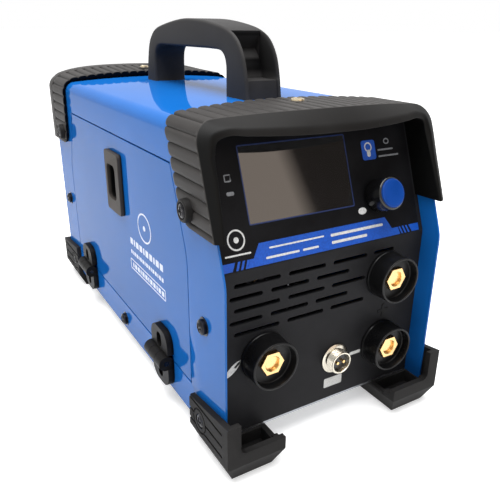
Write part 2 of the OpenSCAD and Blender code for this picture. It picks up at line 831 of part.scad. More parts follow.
module front_hood() {
    reach = hood_reach + visor_bow;
    brow_z = top_z + hood_all - lip_mid + lip_face;
    brow_y = lean_y(front_y, brow_z) - reach;
    half_w = case_w / 2 + hood_all;
    bow_r = (pow(half_w, 2) + pow(visor_bow, 2)) / (2 * visor_bow);
    tail_r = (pow(half_w, 2) + pow(hood_tail, 2)) / (2 * hood_tail);
    tail_y = lean_y(front_y + hood_d, top_z) + hood_tail;
    color("#1c1c1f") difference() {
        intersection() {
            union() {
                intersection() {
                    along_y(front_y - reach, 0) ribbed_ring(0);
                    across_x(-case_w, case_w) polygon(strip(-rib_start, hood_d + hood_tail));
                }
                intersection() {
                    along_y(front_y - reach, 0) lip_ring(0);
                    across_x(-case_w, case_w) polygon(strip(-2 * reach, -rib_start));
                }
                top_screw_axes() bar(top_screw_r + 1.8, hood_all);
                hood_screw_axes() screw_boss();
            }
            translate([0, front_y, bend_z]) rotate([-lean, 0, 0])
                translate([0, bow_r - reach * cos(lean), -case_w / 2])
                    cylinder(h = 2 * case_w, r = bow_r, $fn = 360);
            translate([0, brow_y, brow_z]) rotate([-brow_lean, 0, 0])
                translate([0, bow_r, -case_w]) cylinder(h = 2 * case_w, r = bow_r, $fn = 360);
            translate([0, tail_y - tail_r, 0]) cylinder(h = 2 * top_z, r = tail_r, $fn = 360);
            across_x(-case_w, case_w) front_hood_side();
        }
        hood_screw_axes() {
            screw_hole(shank_r);
            screw_seat();
        }
        top_screw_axes() screw_hole(shank_r);
    }
}

// Quarter circle from the point below its centre to the point beside it, on side 1 or -1
function quarter(y, z, r, side) = [for (i = [0:6]) [y + side * r * sin(15 * i), z - r * cos(15 * i)]];

// Side area of the front hood, its lower rear corner rounded round the screw
module front_hood_side() {
    y = lean_y(front_y, hood_z) + hood_d - hood_corner_r;
    z = hood_z + hood_corner_r;
    polygon(concat(
        [[front_y - 2 * case_w, hood_z]],
        quarter(y, z, hood_corner_r, 1),
        [[lean_y(front_y + hood_d, top_z - corner_r), top_z - corner_r]],
        [[lean_y(front_y + hood_d + hood_tail, top_z - corner_r / 2), top_z - corner_r / 2]],
        [[lean_y(front_y + hood_d + hood_tail, 2 * top_z), 2 * top_z]],
        [[front_y - 2 * case_w, 2 * top_z]]
    ));
}

module rear_hood_side() {
    y = rear_y - hood_rear_d + hood_rear_step + hood_corner_r;
    z = hood_z + hood_corner_r;
    polygon(concat(
        [[rear_y + hood_rear_reach, hood_z]],
        quarter(y, z, hood_corner_r, -1),
        [[rear_y - hood_rear_d, top_z - corner_r]],
        [[rear_y - hood_rear_d, 2 * top_z]],
        [[rear_y + hood_rear_reach, 2 * top_z]]
    ));
}

module rear_hood() {
    color("#1c1c1f") difference() {
        intersection() {
            union() {
                along_y(0, rear_y - rim_d) ribbed_ring(rear_rise);
                along_y(rear_y, rear_y + hood_rear_reach) lip_ring(rear_rise);
                along_y(rear_y - rim_d, rear_y) visor_ring(rear_rise);
                top_screw_axes() translate([0, 0, -rear_rise]) bar(top_screw_r + 1.8, hood_all + rear_rise);
                hood_screw_axes() screw_boss();
            }
            across_x(-case_w, case_w) rear_hood_side();
        }
        hood_screw_axes() {
            screw_hole(shank_r);
            screw_seat();
        }
        top_screw_axes() screw_hole(shank_r);
    }
}

// ---- handle ----
module handle() {
    z0 = top_z - 2;
    h = top_z + handle_h;
    a = handle_y0;
    b = handle_y1;
    outer = spline([
        [a, z0], [a + 5.6, h - 25], [a + 12.5, h - 14.5], [a + 23, h - 8.5], [a + 44.5, h - 3.5],
        [(a + b) / 2 + 12, h], [b - 44, h - 3.2], [b - 18, h - 9], [b - 9, h - 18], [b - 3, h - 33], [b, z0]
    ], 6);
    i0 = a + leg_t + 2;
    i1 = b - leg_t + 6;
    hi = h - grip_t;
    c = top_z + channel_z;
    color("#202024") difference() {
        across_x(-handle_w / 2, handle_w / 2) difference() {
            polygon(outer);
            polygon([
                [i0, 0], [i0, hi - grip_r], [i0 + grip_r * 0.3, hi - grip_r * 0.3], [i0 + grip_r, hi],
                [i1 - grip_r, hi], [i1 - grip_r * 0.3, hi - grip_r * 0.3], [i1, hi - grip_r], [i1, 0]
            ]);
        }
        across_x(channel_wall - handle_w / 2, handle_w / 2 - channel_wall) polygon([
            [a - 9, z0], [a + face_d, z0], [a + face_d + 3, c], [a + channel_d, c],
            [a + channel_d + 4, h - 25], [a + channel_d + 8, h - 17], [a + 14, h - 9.5], [a - 9, h - 9.5]
        ]);
        along_y(a - 1, b + 1) polygon(case_offset(0, 0));
    }
}

// ---- feet ----
// Foot of the front left corner, its cheek outer_h high at the corner and inner_h at the inner end
module foot(outer_h, inner_h) {
    xo = -(case_w / 2 + foot_gap + cheek_t);
    xi = xo + foot_w;
    y0 = front_y - foot_reach;
    y1 = y0 + foot_l;
    difference() {
        union() {
            difference() {
                intersection() {
                    along_y(y0, y1) polygon([
                        [xo, foot_h], [xo, taper_h], [xo + taper_in, 0],
                        [xi - taper_in, 0], [xi, taper_h], [xi, foot_h]
                    ]);
                    across_x(xo, xi) polygon([
                        [y0, outer_h], [y0, taper_h], [y0 + taper_in, 0], [y1, 0], [y1, inner_h]
                    ]);
                }
                translate([xo + cheek_t, front_y - foot_gap, case_z]) cube([foot_w, foot_l + 10, foot_h]);
                translate([-wall_in + 1, y0 + foot_wall, foot_floor])
                    cube([xi - foot_wall + wall_in - 1, panel_y - 2 - y0 - foot_wall, foot_h]);
                translate([xo + cheek_t, y0 + foot_wall, foot_lip_h - foot_wall])
                    cube([foot_w, foot_reach, foot_h]);
                along_y(y0 - 1, y0 + foot_wall + 1) difference() {
                    translate([xo + post_w, foot_lip_h]) square([foot_w, foot_h]);
                    difference() {
                        translate([xo + post_w - 1, foot_lip_h - 1]) square(post_r + 1);
                        translate([xo + post_w + post_r, foot_lip_h + post_r]) circle(post_r);
                    }
                }
                for (below = foot_grooves)
                    translate([xo - 1, y0 + 7, foot_h - below]) cube([1 + groove_d, foot_l, groove_w]);
                on_side(-1, -xo - groove_d, -(rear_y - foot_screw_y), foot_screw_z) bar(8.5, 5);
            }
            on_side(-1, case_w / 2 + foot_gap + 1, -(rear_y - foot_screw_y), foot_screw_z)
                bar(7.5, cheek_t - 1);
        }
        on_side(-1, -xo - 2, -(rear_y - foot_screw_y), foot_screw_z) bar(foot_screw_r + 0.3, 5);
        on_side(-1, case_w / 2, -(rear_y - foot_screw_y), foot_screw_z) screw_hole(shank_r);
    }
}

module front_foot() {
    foot(foot_h, foot_h - foot_fall);
}

module rear_foot() {
    mirror([0, 1, 0]) foot(foot_h - rear_foot_fall, foot_h);
}

module front_left_foot() {
    color("#2c2c2e") front_foot();
}

module front_right_foot() {
    color("#2c2c2e") mirror([1, 0, 0]) front_foot();
}

module rear_left_foot() {
    color("#2c2c2e") rear_foot();
}

module rear_right_foot() {
    color("#2c2c2e") mirror([1, 0, 0]) rear_foot();
}

// ---- hinges and latch ----
// Places children at each hinge, their origin on the hinge axis, Z pointing along the case
module hinge_places() {
    for (y = [hinge_y0, hinge_y1]) translate([hinge_x, y, seam_z]) rotate([-90, 0, 0]) children();
}

// Half of a hinge: leaf on the wall on side s of the axis, knuckles where outer is true or in the middle
module hinge_half(s, outer) {
    reach = case_w / 2 + hinge_x;
    third = hinge_w / 3;
    knuckles = outer ? [-third, third] : [0];
    difference() {
        union() {
            for (y = [hinge_y0, hinge_y1]) {
                across_x(-case_w / 2 - leaf_t, -case_w / 2) translate([y, seam_z]) intersection() {
                    translate([-hinge_w / 2, s > 0 ? barrel_r + hinge_gap : -leaf_h])
                        square([hinge_w, leaf_h - barrel_r - hinge_gap]);
                    union() {
                        translate([-hinge_w / 2, s > 0 ? 0 : leaf_r - leaf_h])
                            square([hinge_w, leaf_h - leaf_r]);
                        translate([0, s * (leaf_h - leaf_r)]) rounded(hinge_w, 2 * leaf_r, leaf_r - 0.01);
                    }
                }
                for (k = knuckles) {
                    translate([hinge_x, y + k + third / 2 - hinge_gap / 2, seam_z]) rotate([90, 0, 0])
                        bar(barrel_r, third - hinge_gap);
                    translate([-case_w / 2 - leaf_t, y + k - third / 2 + hinge_gap / 2,
                        s > 0 ? seam_z + 0.6 : seam_z - barrel_r - 1])
                        cube([leaf_t, third - hinge_gap, barrel_r + 0.4]);
                }
            }
        }
        hinge_places() translate([0, 0, -hinge_w]) bar(pin_r + (s > 0 ? hinge_gap : 0), 2 * hinge_w);
        for (y = [hinge_y0, hinge_y1])
            translate([-case_w / 2 - leaf_t - 1, y, seam_z + s * (leaf_h - 9.5)])
                rotate([0, 90, 0]) linear_extrude(leaf_t - 1) slot(11, 8);
    }
}

module hinge_door_leaves() {
    color("#1f1f22") hinge_half(1, false);
}

module hinge_body_leaves() {
    color("#1f1f22") hinge_half(-1, true);
}

module hinge_pins() {
    color("silver") hinge_places() translate([0, 0, -hinge_w / 2]) bar(pin_r, hinge_w);
}

module latch_bezel() {
    color("#1d1d20") difference() {
        union() {
            across_x(-case_w / 2 - bezel_t, -case_w / 2) translate([latch_y, latch_z])
                rounded(bezel_w, bezel_h, bezel_r);
            across_x(-case_w / 2, -wall_in + box_d) translate([latch_y, latch_z])
                rounded(bezel_w - 6, bezel_h - 6, 4);
        }
        across_x(-case_w, 0) translate([finger_y, latch_z]) rounded(finger_w, finger_h, finger_r);
    }
}

module latch_slide() {
    x = -wall_in + box_d + latch_gap;
    top = door_top_z + seam / 2 + tongue_lap;
    low = latch_z + bezel_h / 2 - 3 + latch_travel + latch_gap;
    color("#2a3f86") {
        translate([x, finger_y - finger_w / 2 - 2.5, latch_z - finger_h / 2 - 5])
            cube([2, finger_w + 5, finger_h + 8]);
        translate([x - box_d + 0.5, finger_y - finger_w / 2 + 2, latch_z + 1])
            cube([box_d - 0.5, finger_w - 4, 5]);
        translate([x, latch_y - tongue_w / 2, latch_z + finger_h / 2])
            cube([2, tongue_w, top - latch_z - finger_h / 2]);
        translate([-wall_in + latch_gap, latch_y - tongue_w / 2, low])
            cube([x + wall_in - latch_gap, tongue_w, top - low]);
    }
}

// ---- control panel ----
module panel_overlay() {
    w = panel_w - 2 * overlay_margin;
    color("#151518") on_lean(0, bend_z) translate([0, 0, 0.01]) difference() {
        linear_extrude(overlay_t) difference() {
            translate([0, (overlay_low + overlay_high) / 2]) rounded(w, overlay_high - overlay_low, 3);
            translate([display_x, (display_z - bend_z) / cos(lean)])
                square([display_w + 2 * display_gap, display_h + 2 * display_gap], center = true);
            translate([knob_x, (knob_z - bend_z) / cos(lean)]) circle(shaft_r + 1 + shaft_gap);
        }
    }
}

module display_lens() {
    color("#0c0c0e") on_lean(display_x, display_z) translate([-display_w / 2, -display_h / 2, -panel_t])
        cube([display_w, display_h, panel_t + overlay_t]);
}

module display_module() {
    color("#8a8f94") on_lean(display_x, display_z)
        translate([-display_w / 2 - 3, -display_h / 2 - 3, -panel_t - module_d])
        cube([display_w + 6, display_h + 6, module_d]);
}

module control_board() {
    color("#1f6b3a") on_lean(0, display_z)
        translate([display_x - display_w / 2 - 3, -display_h / 2 - 3, -panel_t - module_d - pcb_t])
        cube([knob_x - display_x + display_w / 2 + 15, display_h + 6, pcb_t]);
}

module encoder() {
    color("#777b80") on_lean(knob_x, knob_z) difference() {
        union() {
            translate([-6.5, -6.5, -panel_t - module_d]) cube([13, 13, module_d]);
            translate([0, 0, -panel_t]) bar(shaft_r + 1, panel_t + overlay_t + 0.4);
        }
        translate([0, 0, -panel_t - module_d + 2]) bar(shaft_r + shaft_gap, 2 * module_d);
    }
}

module encoder_shaft() {
    z0 = -panel_t - module_d + 2 + shaft_gap;
    color("silver") on_lean(knob_x, knob_z) translate([0, 0, z0])
        bar(shaft_r, overlay_t + knob_gap + knob_l - 3 - press_play - z0);
}

module knob() {
    z0 = overlay_t + knob_gap;
    color("#17171a") on_lean(knob_x, knob_z) difference() {
        translate([0, 0, z0]) bar(knob_r, knob_l);
        translate([0, 0, z0 - 1]) bar(shaft_r + shaft_gap, knob_l - 2);
        translate([0, 0, z0 + knob_l - 1]) bar(knob_r - cap_rim, 2);
    }
}

module knob_cap() {
    color("#2e6fd0") on_lean(knob_x, knob_z) translate([0, 0, overlay_t + knob_gap + knob_l - 1])
        bar(knob_r - cap_rim, cap_t);
}

// ---- sockets ----
module socket_axes() {
    on_front(work_x, work_z) children();
    on_front(upper_x, upper_z) children();
    on_front(lower_x, lower_z) children();
}

module socket_collars() {
    color("#18181b") socket_axes() difference() {
        union() {
            bar(collar_r, collar_l);
            translate([0, 0, -panel_t - 3]) bar(neck_r, panel_t + 3);
        }
        translate([0, 0, collar_l - recess_d]) bar(recess_r, recess_d + 1);
        translate([0, 0, -20]) bar(insert_r, 60);
    }
}

module socket_inserts() {
    color("#c9a24a") socket_axes() difference() {
        union() {
            translate([0, 0, -panel_t - 8]) bar(insert_r, collar_l - recess_d + panel_t + 8);
            translate([0, 0, collar_l - recess_d]) cylinder(h = head_t, r = head_r, $fn = 6);
            translate([0, 0, -panel_t - 20]) bar(4, 13);
        }
        translate([0, 0, collar_l - recess_d + head_t - plug_d]) bar(plug_r, plug_d + 1);
    }
}

module socket_nuts() {
    color("#2b2b2e") socket_axes() translate([0, 0, -panel_t - 4.5]) difference() {
        cylinder(h = 4.5, r = neck_r + 4, $fn = 6);
        translate([0, 0, -1]) bar(neck_r, 8);
    }
}

module connector_shell() {
    color("silver") on_front(plug_x, plug_z) difference() {
        union() {
            bar(port_flange_r, port_flange_t);
            translate([0, 0, -panel_t - 6]) bar(port_r, panel_t + 6 + port_flange_t + port_l);
            translate([0, 0, -panel_t - 3]) cylinder(h = 3, r = port_flange_r, $fn = 6);
        }
        translate([0, 0, -20]) bar(port_r - 1, 40);
    }
}

module connector_insert() {
    color("#101012") on_front(plug_x, plug_z) difference() {
        translate([0, 0, -panel_t - 6]) bar(port_r - 1, panel_t + 3 + port_flange_t + port_l);
        for (s = [-1, 1]) translate([s * 2.5, 0, -20]) bar(1, 40);
    }
}

module connector_pins() {
    color("gold") on_front(plug_x, plug_z) for (s = [-1, 1])
        translate([s * 2.5, 0, -panel_t - 9]) bar(1, panel_t + 8 + port_flange_t + port_l);
}

// ---- screws ----
module case_screws() {
    color("#161618") case_screw_axes() {
        difference() {
            bar(screw_r, screw_h);
            translate([0, 0, screw_h - 1.6]) cylinder(h = 2, r = 2.2, $fn = 6);
        }
        translate([0, 0, -shank_l]) bar(shank_r, shank_l);
    }
}

module hood_screws() {
    z = hood_all + hood_boss_h - hood_seat_d;
    color("#161618") hood_screw_axes() {
        difference() {
            translate([0, 0, z]) bar(hood_screw_r, 2.2);
            translate([0, 0, z + 1]) cylinder(h = 2, r = 2, $fn = 6);
        }
        translate([0, 0, -3]) bar(shank_r, z + 3);
    }
}

module hood_top_screws() {
    color("#c2a56b") top_screw_axes() {
        difference() {
            translate([0, 0, hood_all]) bar(top_screw_r, 2);
            translate([0, 0, hood_all + 1]) cylinder(h = 2, r = 2, $fn = 6);
        }
        translate([0, 0, -3 - rear_rise]) bar(shank_r, hood_all + 3 + rear_rise);
    }
}

module foot_screws() {
    z = foot_gap + cheek_t - 2;
    color("#161618") foot_screw_axes() {
        difference() {
            translate([0, 0, z]) bar(foot_screw_r, 2.4);
            translate([0, 0, z + 1]) cylinder(h = 2, r = 2, $fn = 6);
        }
        translate([0, 0, -shank_l]) bar(shank_r, shank_l + z);
    }
}

// ---- rear ----
module fan_frame() {
    color("#121214") translate([fan_x, fan_y1, fan_z]) rotate([90, 0, 0]) difference() {
        linear_extrude(fan_d) difference() {
            rounded(fan_w, fan_w, 5);
            circle(fan_r);
            for (x = [-1, 1], y = [-1, 1]) translate([x, y] * (fan_w / 2 - 5)) circle(2.2);
        }
    }
    color("#121214") translate([fan_x, fan_y0, fan_z]) rotate([-90, 0, 0]) difference() {
        union() {
            bar(fan_hub_r, 3);
            for (a = [0:90:270])
                rotate(a + 45) translate([fan_hub_r - 1, -2, 0]) cube([fan_r - fan_hub_r + 2, 4, 3]);
        }
        translate([0, 0, -1]) bar(2.5 + shaft_gap, 10);
    }
}

module fan_rotor() {
    span = fan_r - tip_gap - fan_hub_r;
    color("#1a1a1d") translate([fan_x, fan_y0, fan_z]) rotate([-90, 0, 0]) {
        translate([0, 0, 1]) bar(2.5, 3);
        translate([0, 0, 4]) bar(fan_hub_r, fan_d - 8);
        intersection() {
            for (i = [0:blades - 1]) rotate(i * 360 / blades) translate([fan_hub_r - 1, 0, fan_d / 2])
                rotate([35, 0, 0]) translate([0, -fan_d / 2.6, -0.8]) cube([span + 3, fan_d / 1.3, 1.6]);
            translate([0, 0, 4]) bar(fan_r - tip_gap, fan_d - 8);
        }
    }
}

module switch_housing() {
    color("#111113") difference() {
        union() {
            along_y(back_y, back_y + 2) translate([inlet_x, switch_z]) rounded(switch_w + 4, switch_h + 4, 2);
            along_y(back_y - 22, back_y) translate([inlet_x, switch_z])
                square([switch_w, switch_h], center = true);
        }
        along_y(back_y - 12, back_y + 5) translate([inlet_x, switch_z])
            square([switch_w - 4, switch_h - 4], center = true);
        on_side(1, inlet_x - switch_w / 2 + 0.6, back_y - 3, switch_z) bar(pivot_r + 0.3, switch_w - 1.2);
    }
}

module switch_rocker() {
    w = switch_w - 4 - 0.8;
    r = switch_h / 2 - 2.6;
    color("#c8202a") translate([inlet_x - w / 2, back_y - 3, switch_z]) rotate([rocker_tilt, 0, 0])
        across_x(0, w) polygon([
            [-r * 0.5, -r * 0.7], [0, -r], [3, -r * 0.96], [4.2, 0],
            [3, r * 0.96], [0, r], [-r * 0.5, r * 0.7]
        ]);
    color("#c8202a") on_side(1, inlet_x - switch_w / 2 + 0.9, back_y - 3, switch_z)
        bar(pivot_r, switch_w - 1.8);
}

module cable_gland() {
    color("#1b1b1e") translate([inlet_x, back_y, gland_z]) rotate([-90, 0, 0]) difference() {
        union() {
            cylinder(h = 6, r = gland_r + 4, $fn = 6);
            translate([0, 0, 6]) cylinder(h = 12, r = gland_r + 2);
            translate([0, 0, -10]) bar(gland_r, 10);
            translate([0, 0, -sheet_t - 5]) cylinder(h = 5, r = gland_r + 4, $fn = 6);
        }
        translate([0, 0, -20]) bar(gland_bore_r, 60);
    }
}

// ---- power section ----
module divider_plate() {
    color("#9aa0a6") {
        difference() {
            intersection() {
                translate([div_x, div_y0, panel_z]) cube([sheet_t, div_y1 - div_y0, panel_top - 8 - panel_z]);
                across_x(div_x - 1, wall_x + 1) polygon(side_area(div_y0, 0, 2 * top_z, far, panel_bend_r));
            }
            on_side(-1, 0, roll_y, roll_z) translate([0, 0, -50]) bar(4 + shaft_gap, 100);
        }
        translate([wall_x, div_y0, panel_z]) cube([12, div_y1 - div_y0, sheet_t]);
    }
}

module heatsink() {
    fins = floor((sink_w - fin_gap) / fin_pitch);
    color("#b4b8bd") translate([wall_x + 16, board_y + (board_l - sink_l) / 2, panel_z]) difference() {
        cube([sink_w, sink_l, board_z - panel_z]);
        for (i = [0:fins]) translate([fin_pitch * i + fin_pitch - fin_gap, -1, -1])
            cube([fin_gap, sink_l + 2, board_z - panel_z + 1 - sink_t]);
    }
}

module power_board() {
    color("#1f6b3a") translate([wall_x + 6, board_y, board_z]) cube([wall_in - wall_x - 10, board_l, pcb_t]);
}

core_x = wall_x + 26;
core_y = board_y + board_l - core_l - 16;
coil_z = board_z + pcb_t + core_limb;

module transformer_core() {
    color("#4a4a4e") translate([core_x, core_y, board_z + pcb_t]) difference() {
        cube([core_w, core_l, core_h]);
        translate([core_limb, -1, core_limb])
            cube([core_w - 2 * core_limb, core_l + 2, core_h - 2 * core_limb]);
    }
}

// Winding round the core's left limb
module transformer_winding() {
    out = winding_t + 0.4;
    color("#d8b030") translate([core_x, core_y, coil_z]) difference() {
        translate([-out, -out - 1, 0.4])
            cube([core_limb + 2 * out, core_l + 2 * out + 2, core_h - 2 * core_limb - 0.8]);
        translate([-0.4, -0.4, -1]) cube([core_limb + 0.8, core_l + 0.8, core_h]);
    }
}

module output_choke() {
    x = wall_x + 18 + choke_r + choke_t;
    y = board_y + board_l / 2 - 9;
    color("#b8642a") translate([x, y, board_z + pcb_t + choke_t + 0.1])
        rotate_extrude() translate([choke_r, 0]) circle(choke_t);
}

module capacitors() {
    color("#26345a") for (i = [0:2])
        translate([wall_x + 22 + cap_pitch * i, board_y + 16 + cap_r, board_z + pcb_t]) bar(cap_r, cap_h);
}

// ---- wire feeder ----
module feeder_plate() {
    color("#2d2f33") difference() {
        union() {
            translate([feed_x, roll_y - 40, roll_z - 24]) cube([feeder_t, 82, idler_z - roll_z + 35]);
            on_side(-1, -feed_x, roll_y - 26, idler_z) bar(3, roll_w + 9.5);
            translate([roll_x0 - 9, roll_y + 22, roll_z - 2]) cube([feed_x - roll_x0 + 9.1, 12, 8]);
            translate([roll_x0 + roll_w / 2 - 3, roll_y + 22, roll_z + 5])
                cube([feed_x - roll_x0 - roll_w / 2 + 3.1, 9, 7.5]);
            translate([roll_x0 + roll_w / 2 - 3, roll_y - 39, roll_z + 8])
                cube([feed_x - roll_x0 - roll_w / 2 + 3.1, 9, 4.5]);
        }
        on_side(-1, 0, roll_y, roll_z) translate([0, 0, -50]) bar(4 + shaft_gap, 100);
        translate([roll_x0 - 4, roll_y + 28, roll_z - 1]) bar(2.5 + shaft_gap, 20);
    }
}

module wire_guides() {
    z = roll_z + roll_r + wire_d / 2;
    color("#c9a24a") for (y = [roll_y - 45, roll_y + 14]) difference() {
        translate([roll_x0 + roll_w / 2, y + 26, z]) rotate([90, 0, 0]) bar(2.4, 26);
        translate([roll_x0 + roll_w / 2, y + 30, z]) rotate([90, 0, 0]) bar(0.8, 40);
    }
}

module feed_motor() {
    color("#6d7278") difference() {
        union() {
            translate([wall_x, roll_y - 20, roll_z - 20]) cube([20, 40, 40]);
            on_side(1, wall_x + 20, roll_y, roll_z) bar(17, 52);
        }
        on_side(1, wall_x - 1, roll_y, roll_z) bar(4 + shaft_gap, 12.3);
    }
}

module drive_roll() {
    color("#a8adb3") on_side(1, roll_x0, roll_y, roll_z) {
        bar(roll_r, roll_w);
        translate([0, 0, 1]) bar(4, wall_x - roll_x0 + 10);
    }
}

module pressure_roll() {
    color("#a8adb3") on_side(1, roll_x0, roll_y, idler_z) difference() {
        bar(idler_r, roll_w);
        translate([0, 0, -1]) bar(3 + shaft_gap, roll_w + 2);
    }
}

module pressure_arm() {
    x0 = roll_x0 - 6.5;
    color("#b7352d") difference() {
        union() {
            across_x(x0, x0 + 5) {
                translate([roll_y - 26, idler_z]) circle(6);
                translate([roll_y - 26, idler_z - 5]) square([60, 10]);
            }
            on_side(1, x0, roll_y, idler_z) bar(3, roll_w + 6.5);
        }
        on_side(1, x0 - 1, roll_y - 26, idler_z) bar(3 + shaft_gap, 20);
        translate([x0 - 1, roll_y + 24.2, idler_z - 10]) cube([10, 12, 20]);
    }
}

module tension_knob() {
    color("#18181b") translate([roll_x0 - 4, roll_y + 28, 0]) {
        translate([0, 0, roll_z - 1 + shaft_gap]) bar(2.5, idler_z - roll_z + 22);
        translate([0, 0, idler_z + 5 + 14]) bar(8, 15);
    }
}

module tension_spring() {
    color("silver") translate([roll_x0 - 4, roll_y + 28, idler_z + 5]) difference() {
        bar(6, 14);
        translate([0, 0, -1]) bar(3.4, 16);
    }
}

module spool_hub() {
    color("#3a3c40") on_side(-1, -div_x, spool_y, spool_z) {
        bar(20, 2.6);
        bar(spool_shaft_r, div_x - spool_x0 + 9);
    }
}

module wire_spool() {
    color("#e6e6e2") on_side(1, spool_x0, spool_y, spool_z) difference() {
        union() {
            bar(spool_r, 2.5);
            bar(24, spool_w);
            translate([0, 0, spool_w - 2.5]) bar(spool_r, 2.5);
        }
        translate([0, 0, -1]) bar(spool_bore_r, spool_w + 2);
    }
}

module wound_wire() {
    color("#b9774a") on_side(1, spool_x0 + 2.5, spool_y, spool_z) difference() {
        bar(spool_r - 7, spool_w - 5);
        translate([0, 0, -1]) bar(24, spool_w + 2);
    }
}

module spool_nut() {
    color("#18181b") on_side(-1, -spool_x0 + 0.4, spool_y, spool_z) difference() {
        bar(14, 7);
        translate([0, 0, -1]) bar(spool_shaft_r, 10);
    }
}

base_chassis();
outer_cover();
side_door();
front_panel();
rear_panel();
front_hood();
rear_hood();
handle();
front_left_foot();
front_right_foot();
rear_left_foot();
rear_right_foot();
hinge_door_leaves();
hinge_body_leaves();
hinge_pins();
latch_bezel();
latch_slide();
panel_overlay();
display_lens();
display_module();
control_board();
encoder();
encoder_shaft();
knob();
knob_cap();
socket_collars();
socket_inserts();
socket_nuts();
connector_shell();
connector_insert();
connector_pins();
case_screws();
hood_screws();
hood_top_screws();
foot_screws();
fan_frame();
fan_rotor();
switch_housing();
switch_rocker();
cable_gland();
divider_plate();
power_board();
heatsink();
transformer_core();
transformer_winding();
output_choke();
capacitors();
feeder_plate();
feed_motor();
drive_roll();
pressure_roll();
pressure_arm();
tension_knob();
tension_spring();
wire_guides();
spool_hub();
wire_spool();
wound_wire();
spool_nut();
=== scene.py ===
"""Dresses the wire-feed welding machine: shaped pieces, finishes, prints, lights and camera.

Lengths in this file are in millimetres until a mesh is made, and mesh coordinates are in metres.
X is to the right seen from the front, the front faces -Y, Z is up.
"""

import json
import math

import bmesh
import bpy
import numpy as np
from mathutils import Matrix, Vector

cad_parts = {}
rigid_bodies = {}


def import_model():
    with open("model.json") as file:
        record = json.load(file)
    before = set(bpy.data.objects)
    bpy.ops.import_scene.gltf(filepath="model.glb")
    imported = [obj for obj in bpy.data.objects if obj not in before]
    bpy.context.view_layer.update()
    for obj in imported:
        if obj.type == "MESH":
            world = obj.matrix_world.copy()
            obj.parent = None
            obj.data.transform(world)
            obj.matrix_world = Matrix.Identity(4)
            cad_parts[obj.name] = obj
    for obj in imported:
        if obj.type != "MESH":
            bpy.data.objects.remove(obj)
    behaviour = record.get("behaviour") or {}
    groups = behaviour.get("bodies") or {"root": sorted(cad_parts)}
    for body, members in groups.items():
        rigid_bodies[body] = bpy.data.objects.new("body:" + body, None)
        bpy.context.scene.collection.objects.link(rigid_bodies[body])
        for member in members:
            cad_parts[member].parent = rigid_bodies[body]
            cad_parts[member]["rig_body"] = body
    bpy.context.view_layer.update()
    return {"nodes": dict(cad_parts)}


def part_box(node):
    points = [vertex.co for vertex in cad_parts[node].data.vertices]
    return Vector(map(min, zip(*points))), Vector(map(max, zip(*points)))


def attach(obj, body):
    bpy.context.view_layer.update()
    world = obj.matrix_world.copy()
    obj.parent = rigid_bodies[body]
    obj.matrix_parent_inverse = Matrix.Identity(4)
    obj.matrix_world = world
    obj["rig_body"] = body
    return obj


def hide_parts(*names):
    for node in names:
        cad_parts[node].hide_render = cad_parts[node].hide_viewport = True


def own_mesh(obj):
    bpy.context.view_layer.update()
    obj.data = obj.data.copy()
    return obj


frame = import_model()
NODES = frame["nodes"]
MM = 0.001

# ---- sizes shared with the part's source ----
HALF_W = 80.0
FRONT_Y = -174.0
REAR_Y = 174.0
TOP_Z = 205.5
CROWN_R = 900.0
CORNER_R = 8.5
BEND_Z = 124.3
LEAN = math.radians(20.5)
PANEL_Y = -160.0
OVERLAY_T = 0.41
HOOD_T = 2.2
RIB_H = 1.2
RIB_PITCH = 8.0
HOOD_ALL = HOOD_T + RIB_H
HOOD_Z = 147.5
HOOD_D = 37.0
HOOD_TAIL = 7.0
HOOD_REAR_D = 51.0
HOOD_REAR_STEP = 4.0
HOOD_RIM_D = 11.0
HOOD_REAR_REACH = 3.0
HOOD_CORNER_R = 10.0
HOOD_BOSS_R = 6.6
HOOD_BOSS_H = 3.8
HOOD_SEAT_D = 1.4
HOOD_SCREW_R = 4.2
TOP_SCREW_Y = -120.0
REAR_SCREW_Y = 137.0
REAR_RISE = 3.7
KNOB_X = 42.4
KNOB_Z = 150.8
KNOB_CAP_R = 9.0
RECESS_R = 14.2

# ---- values of the looks alone ----
RIB_POWER = 4.0  # how flat a rib is between its grooves
SCALLOP = 0.9  # depth of the notches in the hoods' edges
INK_SINK = -0.02  # how deep a plate of ink starts under its surface
INK_T = 0.10
FACE_INK_T = 0.12
OVER_INK_T = 0.16  # ink printed over other ink
CROSS_T = 0.35
UP = np.array([0.0, 0.0, 1.0])
FORWARD = np.array([0.0, -1.0, 0.0])
ARCH_HALF_W = 78.0  # half width of the rear hood's arched top
ARCH_RISE = (2, 5.4)  # how high it arches in front and behind
AXIS_R = 0.01  # radius where a turned profile meets its axis
FLUTES = 36
THREAD_PITCH = 0.9
WIRE_PITCH = 1.6
LEAN_OUT = np.array([0.0, -math.cos(LEAN), math.sin(LEAN)])
DOUBLES = 2e-6
FLAT_ANGLE = math.radians(0.4)
EDGE_ANGLE = math.radians(28)


# ---- numbers to shapes ----
def smoothstep(t):
    """3t^2 - 2t^3 between 0 and 1."""
    t = np.clip(t, 0, 1)
    return t * t * (3 - 2 * t)


def curve_through(knots, values, at):
    """Cubic pieces through the values, with the mean slope at each knot."""
    knots, values = np.asarray(knots, float), np.asarray(values, float)
    slopes = np.gradient(values, knots, axis=0)
    i = np.clip(np.searchsorted(knots, at) - 1, 0, len(knots) - 2)
    h = knots[i + 1] - knots[i]
    t = (at - knots[i]) / h
    if values.ndim > 1:
        h, t = h[:, None], t[:, None]
    return (
        (2 * t**3 - 3 * t**2 + 1) * values[i]
        + (t**3 - 2 * t**2 + t) * h * slopes[i]
        + (3 * t**2 - 2 * t**3) * values[i + 1]
        + (t**3 - t**2) * h * slopes[i + 1]
    )


